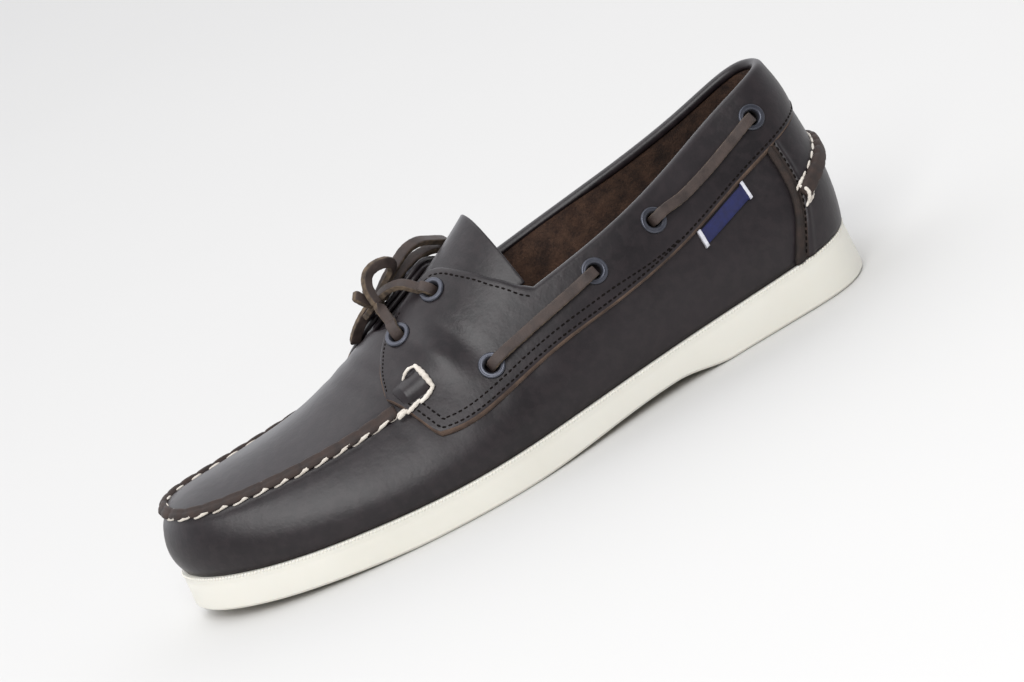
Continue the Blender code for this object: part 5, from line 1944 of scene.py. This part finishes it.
@dataclass
class Sole:
    """The rubber cup with its bead, its stitched channel and its wavy slits, and the sock on it."""

    shop: Workshop
    spacing: float = 0.0022
    slit_width: float = 0.0015
    slit_depth: float = 0.0016
    wave_length: float = 0.0100
    wave_height: float = 0.0015
    shortest_slit: float = 0.012
    side_foot: float = 0.0012
    side_top: float = 0.0038
    sharp_over: float = 32.0
    panel_inset: float = 0.0135
    heel_slits: tuple[float, float, float] = (0.080, 0.215, 0.0047)
    ball_slits: tuple[float, float, float] = (0.415, 0.865, 0.0063)

    def rings(self, name: str, rings: Sequence[tuple], finishes: Sequence[str]) -> Piece:
        """A closed body from rings that follow the sole's outline.

        Args:
            name: Name of the piece.
            rings: Face that each ring goes by, its inset and its rise.
            finishes: The body's material, and one for its underside if that differs.

        Returns:
            The piece.
        """
        last = self.shop.last
        half = last.even_turns(0.0, math.pi, self.spacing, 0.0)
        turn = np.concatenate([-half[::-1], half[1:-1]])
        loops = []
        for face, inset, rise in rings:
            plan, _ = last.outline(turn, inset)
            bottom, top = last.sole_bottom(plan[:, 0]), last.sole_top(plan[:, 0])
            z = {"bottom": bottom + rise, "top": top + rise,
                 "side": bottom + self.side_foot + (top - self.side_top - bottom - self.side_foot) * rise}[face]
            loops.append(np.column_stack([plan, z]))
        count, middle, under = len(turn), len(half) - 1, int(len(finishes) > 1)
        faces = grid_faces(len(rings), count, True)
        marks = [under * int(face[0] // count < 4) for face in faces]
        for start, cap in ((0, under), ((len(rings) - 1) * count, 0)):
            for i in range(middle):
                corners = (middle - i, (middle + i) % count, (middle + i + 1) % count, middle - i - 1)
                face = tuple(start + corner for corner in dict.fromkeys(corners))
                if len(face) > 2:
                    faces.append(face)
                    marks.append(cap)
        return self.shop.mesh(name, np.vstack(loops), faces, finishes, marks)

    def slit_lines(self) -> Array:
        """Where the slits run.

        Returns:
            Start and end of each slit, in the last's own place.
        """
        last = self.shop.last
        lines = []
        turn = np.linspace(-math.pi, math.pi, 2001)
        plan, _ = last.outline(turn, self.panel_inset)
        for start, end, step in (self.heel_slits, self.ball_slits):
            for along in np.arange(start, end, step / last.length):
                x = last.length * (0.5 - along)
                ends = []
                for half in (turn < 0.0, turn > 0.0):
                    order = np.argsort(plan[half, 0])
                    ends.append(np.interp(x, plan[half, 0][order], plan[half, 1][order]))
                if ends[1] - ends[0] > self.shortest_slit:
                    lines.append(((x, ends[0]), (x, ends[1])))
        return np.array(lines)

    def slit_tree(self) -> ShapeTree:
        """Geometry Nodes tree that cuts wavy slits along the lines of another object.

        Returns:
            The tree.
        """
        kinds = dict.fromkeys(("Width", "Depth", "Wave Length", "Wave Height"), "Float")
        made = ShapeTree("wavy_slits", {"Lines": "Object", **kinds, "Finish": "Material"})
        bench, given = made.bench, made.given
        lines = bench.add("GeometryNodeObjectInfo", {"Object": given["Lines"]})
        curve = bench.add("GeometryNodeMeshToCurve", {"Mesh": lines.outputs["Geometry"]})
        even = bench.add("GeometryNodeResampleCurve", {"Curve": curve.outputs[0], "Length": 0.0010},
                         mode="LENGTH")
        spot = bench.add("ShaderNodeSeparateXYZ", {0: bench.add("GeometryNodeInputPosition").outputs[0]})
        phase = bench.math("DIVIDE", spot.outputs[1], given["Wave Length"])
        wave = bench.math("SINE", bench.math("MULTIPLY", phase, 2.0 * math.pi))
        shift = bench.add("ShaderNodeCombineXYZ", {"X": bench.math("MULTIPLY", wave, given["Wave Height"])})
        waved = bench.add("GeometryNodeSetPosition", {"Geometry": even.outputs[0], "Offset": shift.outputs[0]})
        flat = bench.add("GeometryNodeSetCurveNormal", {"Curve": waved.outputs[0]}, mode="Z_UP")
        box = bench.add("GeometryNodeCurvePrimitiveQuadrilateral", {
            "Width": given["Width"], "Height": bench.math("MULTIPLY", given["Depth"], 2.0)})
        cutter = bench.add("GeometryNodeCurveToMesh", {
            "Curve": flat.outputs[0], "Profile Curve": box.outputs[0], "Fill Caps": True})
        dressed = bench.add("GeometryNodeSetMaterial", {
            "Geometry": cutter.outputs[0], "Material": given["Finish"]})
        cut = bench.add("GeometryNodeMeshBoolean", {"Mesh 1": given["Shape"], "Mesh 2": dressed.outputs[0]},
                        operation="DIFFERENCE", solver="MANIFOLD")
        bench.add("NodeGroupOutput", {0: cut.outputs[0]})
        return made

    def cut_slits(self, sole: Piece) -> None:
        """Cut the wavy slits into the heel and the ball.

        Args:
            sole: The sole.
        """
        steps = np.linspace(0.0, 1.0, 24)
        points, edges = [], []
        for start, end in self.slit_lines():
            row = np.outer(1.0 - steps, start) + np.outer(steps, end)
            first = len(points)
            points.extend(np.column_stack([row, self.shop.last.sole_bottom(row[:, 0])]))
            edges.extend((first + i, first + i + 1) for i in range(len(steps) - 1))
        data = bpy.data.meshes.new("slit_lines")
        data.from_pydata((np.array(points) + self.shop.move).tolist(), edges, [])
        lines = put_in_scene("slit_lines", data)
        self.slit_tree().put_on(sole, {
            "Lines": lines, "Width": self.slit_width, "Depth": self.slit_depth, "Wave Length": self.wave_length,
            "Wave Height": self.wave_height, "Finish": self.shop.materials["tread_rubber"]})
        self.shop.plain(sole)
        bpy.data.objects.remove(lines, do_unlink=True)
        sole.data.shade_smooth()
        self.sharpen(sole, self.sharp_over)

    @staticmethod
    def sharpen(piece: Piece, degrees: float) -> None:
        """Mark the edges that bend more than an angle as sharp.

        Args:
            piece: The piece.
            degrees: The angle.
        """
        mesh = bmesh.new()
        mesh.from_mesh(piece.data)
        limit = math.radians(degrees)
        for edge in mesh.edges:
            edge.smooth = not (edge.is_manifold and edge.calc_face_angle(0.0) > limit)
        mesh.to_mesh(piece.data)
        mesh.free()

    def line(self, inset: float, face: str, rise: float) -> Array:
        """A line that follows the outline.

        Args:
            inset: Distance inside the outline.
            face: "bottom" or "top".
            rise: Height over that face.

        Returns:
            Points of the line.
        """
        last = self.shop.last
        plan, _ = last.outline(last.even_turns(-math.pi, math.pi, 0.002, 0.0), inset)
        base = last.sole_bottom(plan[:, 0]) if face == "bottom" else last.sole_top(plan[:, 0])
        return np.column_stack([plan, base + rise])

    def build(self) -> Piece:
        """The cup with its slits.

        Returns:
            The piece.
        """
        sole = self.rings("rubber_sole", SOLE_RINGS, ["ivory_rubber", "tread_rubber"])
        self.cut_slits(sole)
        return sole

    def build_sock(self) -> Piece:
        """The sock inside, with a soft edge."""
        return self.rings("sock", SOCK_RINGS, ["sock_leather"])


TAB_PROFILE = ((0.0, 0.0), (0.0, 0.7), (0.03, 1.0), (0.25, 1.0), (0.5, 1.0), (0.75, 1.0), (0.97, 1.0),
               (1.0, 0.7), (1.0, 0.0))


@dataclass
class Label:
    """The small woven tab under the lateral band, left bare."""

    shop: Workshop
    cut: Cut
    start: float = 0.2815
    end: float = 0.3700
    width: float = 0.0056
    thickness: float = 0.0009
    selvedge: float = 0.0016
    tucked: float = 0.0006
    clear: float = 0.0002
    end_rise: float = 0.0007
    end_thickness: float = 0.0010
    end_width: float = 0.0013
    columns: int = 60

    def build(self) -> Piece:
        """The tab with its pale ends.

        Returns:
            The piece.
        """
        last = self.shop.last
        place = np.linspace(self.start, self.end, self.columns)
        turn = last.turn_at(place, Side.LATERAL)
        run = (place - self.start) * last.length * 1.04
        pale = np.minimum(run, run[-1] - run) < self.selvedge
        top = self.cut.edge_height(place) - self.tucked + self.end_rise * pale
        height, drop = self.thickness + self.end_thickness * pale, self.width + self.end_width * pale
        rows = [last.offset(turn, last.level_at_height(turn, top - drop * (1.0 - share)),
                            self.clear + lift * height) for share, lift in TAB_PROFILE]
        marks = [int(pale[i] and pale[i + 1] and j < len(rows) - 1)
                 for i in range(self.columns - 1) for j in range(len(rows))]
        return self.shop.mesh("woven_tab", *tube(np.array(rows).transpose(1, 0, 2)),
                              ["navy_weave", "pale_weave"], marks + [1, 1])


TAB_THREADS = (
    (0.00062, ((-0.1425, 1.185, 0.0022), (-0.1350, 1.205, 0.0034), (-0.1270, 1.210, 0.0038),
               (-0.1195, 1.192, 0.0034))),
    (0.00115, ((-0.1192, 1.205, 0.0032), (-0.1165, 1.065, 0.0042), (-0.1144, 0.925, 0.0030))),
    (0.00088, ((-0.1140, 0.935, 0.0030), (-0.1260, 0.900, 0.0031), (-0.1390, 0.892, 0.0026))),
    (0.00088, ((-0.1370, 0.915, 0.0028), (-0.1480, 0.895, 0.0032), (-0.1600, 0.884, 0.0026))),
    (0.00088, ((-0.1575, 0.908, 0.0026), (-0.1650, 0.902, 0.0030), (-0.1722, 0.899, 0.0018))),
)


@dataclass
class SeamTab:
    """The rolled end of the moccasin seam on the saddle, with the thread that ties it down."""

    shop: Workshop
    front: float = -0.1600
    rear: float = -0.1175
    levels: tuple[float, float] = (0.945, 1.205)
    face: float = 0.0021
    sunk: float = 0.0004
    base: float = 0.0006
    height: float = 0.0026
    slant: float = 0.006
    flare: float = 0.02

    def build(self, side: Side) -> Piece:
        """The roll as one closed body.

        Args:
            side: Side of the shoe.

        Returns:
            The piece.
        """
        low, high = self.levels
        end, across = np.meshgrid(np.linspace(0.0, 1.0, 30), np.linspace(0.0, 1.0, 22), indexing="ij")
        place = self.front + (self.rear - self.front) * end - self.slant * (across - 0.5) * (1.0 - end)
        level = low - self.flare * end + (high - low + self.flare * end) * across
        turn = self.shop.last.turn_at(place, side)
        arch = np.sin(math.pi * across) ** 0.75
        fall = np.minimum(1.0, 0.35 + end / 0.35) * np.minimum(1.0, (1.0 - end) / 0.03 + 0.75)
        top = self.shop.last.offset(turn, level, self.face - self.sunk + self.height * arch * fall)
        foot = self.shop.last.offset(turn, level, np.full_like(level, self.face - self.base))
        body = tube(np.concatenate([top, foot[:, ::-1]], axis=1))
        return self.shop.mesh("seam_end_" + side.name.lower(), *body, ["oiled_leather"])

    def threads(self, side: Side) -> list[tuple[float, Array]]:
        """The tying thread.

        Args:
            side: Side of the shoe.

        Returns:
            Radius and route of each of its bars.
        """
        last = self.shop.last
        rows = [(radius, *np.array(row).T) for radius, row in TAB_THREADS]
        return [(radius, last.offset(last.turn_at(place, side), level, lift))
                for radius, place, level, lift in rows]


def thread_bars(shop: Workshop, name: str, bars: Sequence[tuple[float, Array]]) -> Piece:
    """Plump bars of thread along routes, as one piece.

    Args:
        shop: The workshop.
        name: Name of the piece.
        bars: Radius and route of each bar.

    Returns:
        The piece.
    """
    bodies = []
    for radius, route in bars:
        section = rounded_box(2.0 * radius, 2.0 * radius, 0.98 * radius, 3)
        path = smooth_route(route, 0.0004)
        share = np.linspace(0.0, 1.0, len(path))
        twist = 1.0 + 0.10 * np.sin(share * len(path) * 1.1)
        plump = (0.35 + 0.65 * np.sin(math.pi * np.clip(share, 0.02, 0.98)) ** 0.35) * twist
        up = np.broadcast_to(np.array([0.3, 0.5, 0.9]), path.shape)
        bodies.append(sweep(path, up, section, np.column_stack([plump, plump])))
    return shop.mesh(name, *together(bodies), ["cream_thread"])


@dataclass(frozen=True)
class View:
    """The photograph's camera, fitted to the shoe."""

    azimuth: float = 13.543
    elevation: float = 18.209
    roll: float = 25.132
    distance: float = 1.5466
    focal: float = 2692.5
    slide: tuple[float, float] = (-0.073168, -0.026062)
    photo: tuple[float, float] = (1024.0, 682.0)
    aim: tuple[float, float] = (369.5, 324.5)
    crop_width: float = 683.0
    sensor: float = 36.0

    def build(self, move: Array) -> Piece:
        """The camera, turned from the photograph's middle to the one shoe.

        Args:
            move: Move from the last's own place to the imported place.

        Returns:
            The camera object.
        """
        a, e, r = (math.radians(v) for v in (self.azimuth, self.elevation, self.roll))
        right = np.array([math.cos(a), -math.sin(a), 0.0])
        back = np.array([-math.sin(a) * math.cos(e), -math.cos(a) * math.cos(e), math.sin(e)])
        up = np.cross(back, right)
        x_axis = right * math.cos(r) - up * math.sin(r)
        y_axis = right * math.sin(r) + up * math.cos(r)
        shift_x, shift_y = -self.slide[0], -self.slide[1]
        eye = back * self.distance
        eye = eye + right * (shift_x * math.cos(r) + shift_y * math.sin(r))
        eye = eye + up * (-shift_x * math.sin(r) + shift_y * math.cos(r))
        tilt_x = (self.aim[0] - 0.5 * self.photo[0]) / self.focal
        tilt_y = (0.5 * self.photo[1] - self.aim[1]) / self.focal
        new_back = unit(back - x_axis * tilt_x - y_axis * tilt_y)
        new_x = unit(x_axis - new_back * float(x_axis @ new_back))
        new_y = np.cross(new_back, new_x)
        data = bpy.data.cameras.new("photo_view")
        data.sensor_width = self.sensor
        data.lens = self.focal / self.crop_width * self.sensor
        data.clip_start, data.clip_end = 0.05, 60.0
        camera = put_in_scene("photo_view", data)
        basis = Matrix(np.column_stack([new_x, new_y, new_back]).tolist()).to_4x4()
        camera.matrix_world = Matrix.Translation(Vector(eye + move)) @ basis
        bpy.context.scene.camera = camera
        return camera


@dataclass(frozen=True)
class Studio:
    """Pale floor and soft light."""

    floor_half: float = 12.0
    sky: tuple[float, float] = (0.34, 1.65)
    sky_colour: tuple[float, ...] = (0.955, 0.965, 1.0, 1.0)
    lamps: tuple = (("key_softbox", (-0.8, -2.1, 2.0), 1.9, 66.0), ("top_softbox", (-0.4, 0.7, 2.6), 1.6, 12.0))

    def build(self, shop: Workshop) -> None:
        """Floor, sky and lamps.

        Args:
            shop: The workshop.
        """
        half = self.floor_half
        data = bpy.data.meshes.new("studio_floor")
        data.from_pydata([(-half, -half, 0.0), (half, -half, 0.0), (half, half, 0.0), (-half, half, 0.0)],
                         [], [(0, 1, 2, 3)])
        shop.wear("studio_floor", data, ["pale_floor"])
        world = bpy.data.worlds.new("studio_sky")
        bpy.context.scene.world = world
        world.use_nodes = True
        bench = NodeBench(world.node_tree)
        way = bench.add("ShaderNodeTexCoord").outputs["Generated"]
        depth = bench.add("ShaderNodeSeparateXYZ", {0: way}).outputs[1]
        sky = world.node_tree.nodes["Background"]
        sky.inputs["Color"].default_value = self.sky_colour
        bench.join(bench.ramp(depth, -0.7, 0.8, *self.sky), sky.inputs["Strength"])
        for name, place, size, power in self.lamps:
            lamp = bpy.data.lights.new(name, "AREA")
            lamp.size, lamp.energy = size, power
            holder = put_in_scene(name, lamp)
            holder.location = place
            way = Vector(INSIDE) - Vector(place)
            holder.rotation_euler = way.to_track_quat("-Z", "Y").to_euler()
        bpy.context.scene.view_settings.view_transform = "Standard"


def main() -> None:
    """Dress the shoe."""
    logging.basicConfig(level=logging.INFO, format="%(name)s %(message)s")
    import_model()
    last = Last()
    shop = Workshop(last)
    cut = Cut(last)
    View().build(shop.move)
    wall = Upper(shop, cut).build()
    saddle = Saddle(shop, cut)
    band = saddle.build()
    sewing = Seamstress(shop)
    eyelets = Eyelets(shop, sewing.surface([band]))
    eyelets.punch([wall, band])
    shop.settle(wall, Slot.LEATHER, "upper")
    shop.settle(band, Slot.LEATHER, "saddle_collar")
    shop.settle(Tongue(shop).build(), Slot.LEATHER, "tongue")
    counter = Counter(shop, cut)
    heel = shop.settle(counter.build(), Slot.LEATHER, "heel_counter")
    shop.settle(counter.build_roll(), Slot.LEATHER, "heel_seam")
    seam = MocSeam(shop)
    shop.settle(seam.build(), Slot.LEATHER, "moc_seam")
    tab = SeamTab(shop)
    ties = list(counter.roll_ties())
    for side in Side:
        shop.settle(tab.build(side), Slot.LEATHER)
        ties += tab.threads(side)
        for name in EYELETS:
            shop.settle(eyelets.build(side, name), Slot.METAL, f"eyelet_{side.name.lower()}_{name}")
    shop.settle(thread_bars(shop, "cream_ties", ties), Slot.LEATHER)
    laces = Laces(shop, eyelets)
    laces.side_runs()
    laces.strands()
    laces.bow()
    sole = Sole(shop)
    shop.settle(sole.build(), Slot.SOLE, "outsole")
    shop.settle(sole.build_sock(), Slot.LINING, "insole")
    shop.settle(Label(shop, cut).build(), Slot.TAB, "side_label")
    sew_everything(sewing, seam, saddle, counter, sole, (band, heel))
    Studio().build(shop)


def sew_everything(sewing: Seamstress, seam: MocSeam, saddle: Saddle, counter: Counter, sole: Sole,
                   pieces: Sequence[Piece]) -> None:
    """Lay all the rows of stitches.

    Args:
        sewing: The seamstress.
        seam: The moccasin seam.
        saddle: The eyestay and band.
        counter: The heel's overlay.
        sole: The rubber sole.
        pieces: Band and counter, which the rows lie on.
    """
    on_band, on_heel = (sewing.surface([piece]) for piece in pieces)
    for stitch, (line, facing) in zip((CREAM_STITCH, INNER_STITCH), seam.stitch_lines()):
        sewing.sew("cream_seam_thread", stitch, line, facing)
    for side in Side:
        sewing.sew("brown_thread", BROWN_STITCH, *saddle.hem(side, 0.0026, 0.4845), on_band)
        sewing.sew("brown_thread", BROWN_STITCH, *saddle.hem(side, 0.0058, 0.25, 0.0032), on_band)
        sewing.sew("brown_thread", BROWN_STITCH, *saddle.top_line(side, 0.0026, -0.052, 0.048), on_band)
        sewing.sew("brown_thread", FINE_STITCH, *saddle.top_line(side, 0.0010, -0.166, -0.095), on_band)
        sewing.sew("brown_thread", BROWN_STITCH, *counter.front_line(side, 0.0034), on_heel)
    for down in (0.0032, -0.0032):
        line, facing = counter.roll_path(counter.gap + counter.thickness, down)
        sewing.sew("cream_heel_thread", HEEL_STITCH, line, facing, on_heel, 0.0003)
    bead = sole.line(0.0007, "top", -0.0004)
    plan = np.diff(bead, axis=0, append=bead[-1:])
    outward = unit(np.column_stack([plan[:, 1], -plan[:, 0], np.zeros(len(plan))]))
    outward[-1] = outward[-2]
    sewing.sew("bead_teeth", WELT_TOOTH, bead, outward)
    channel = sole.line(0.0083, "bottom", 0.0008)
    sewing.sew("channel_thread", SOLE_STITCH, channel, np.tile(-UP, (len(channel), 1)))
    sewing.finish({
        "cream_seam_thread": Slot.LEATHER, "brown_thread": Slot.LEATHER,
        "cream_heel_thread": Slot.LEATHER, "bead_teeth": Slot.SOLE, "channel_thread": Slot.SOLE})


if __name__ == "__main__":
    main()
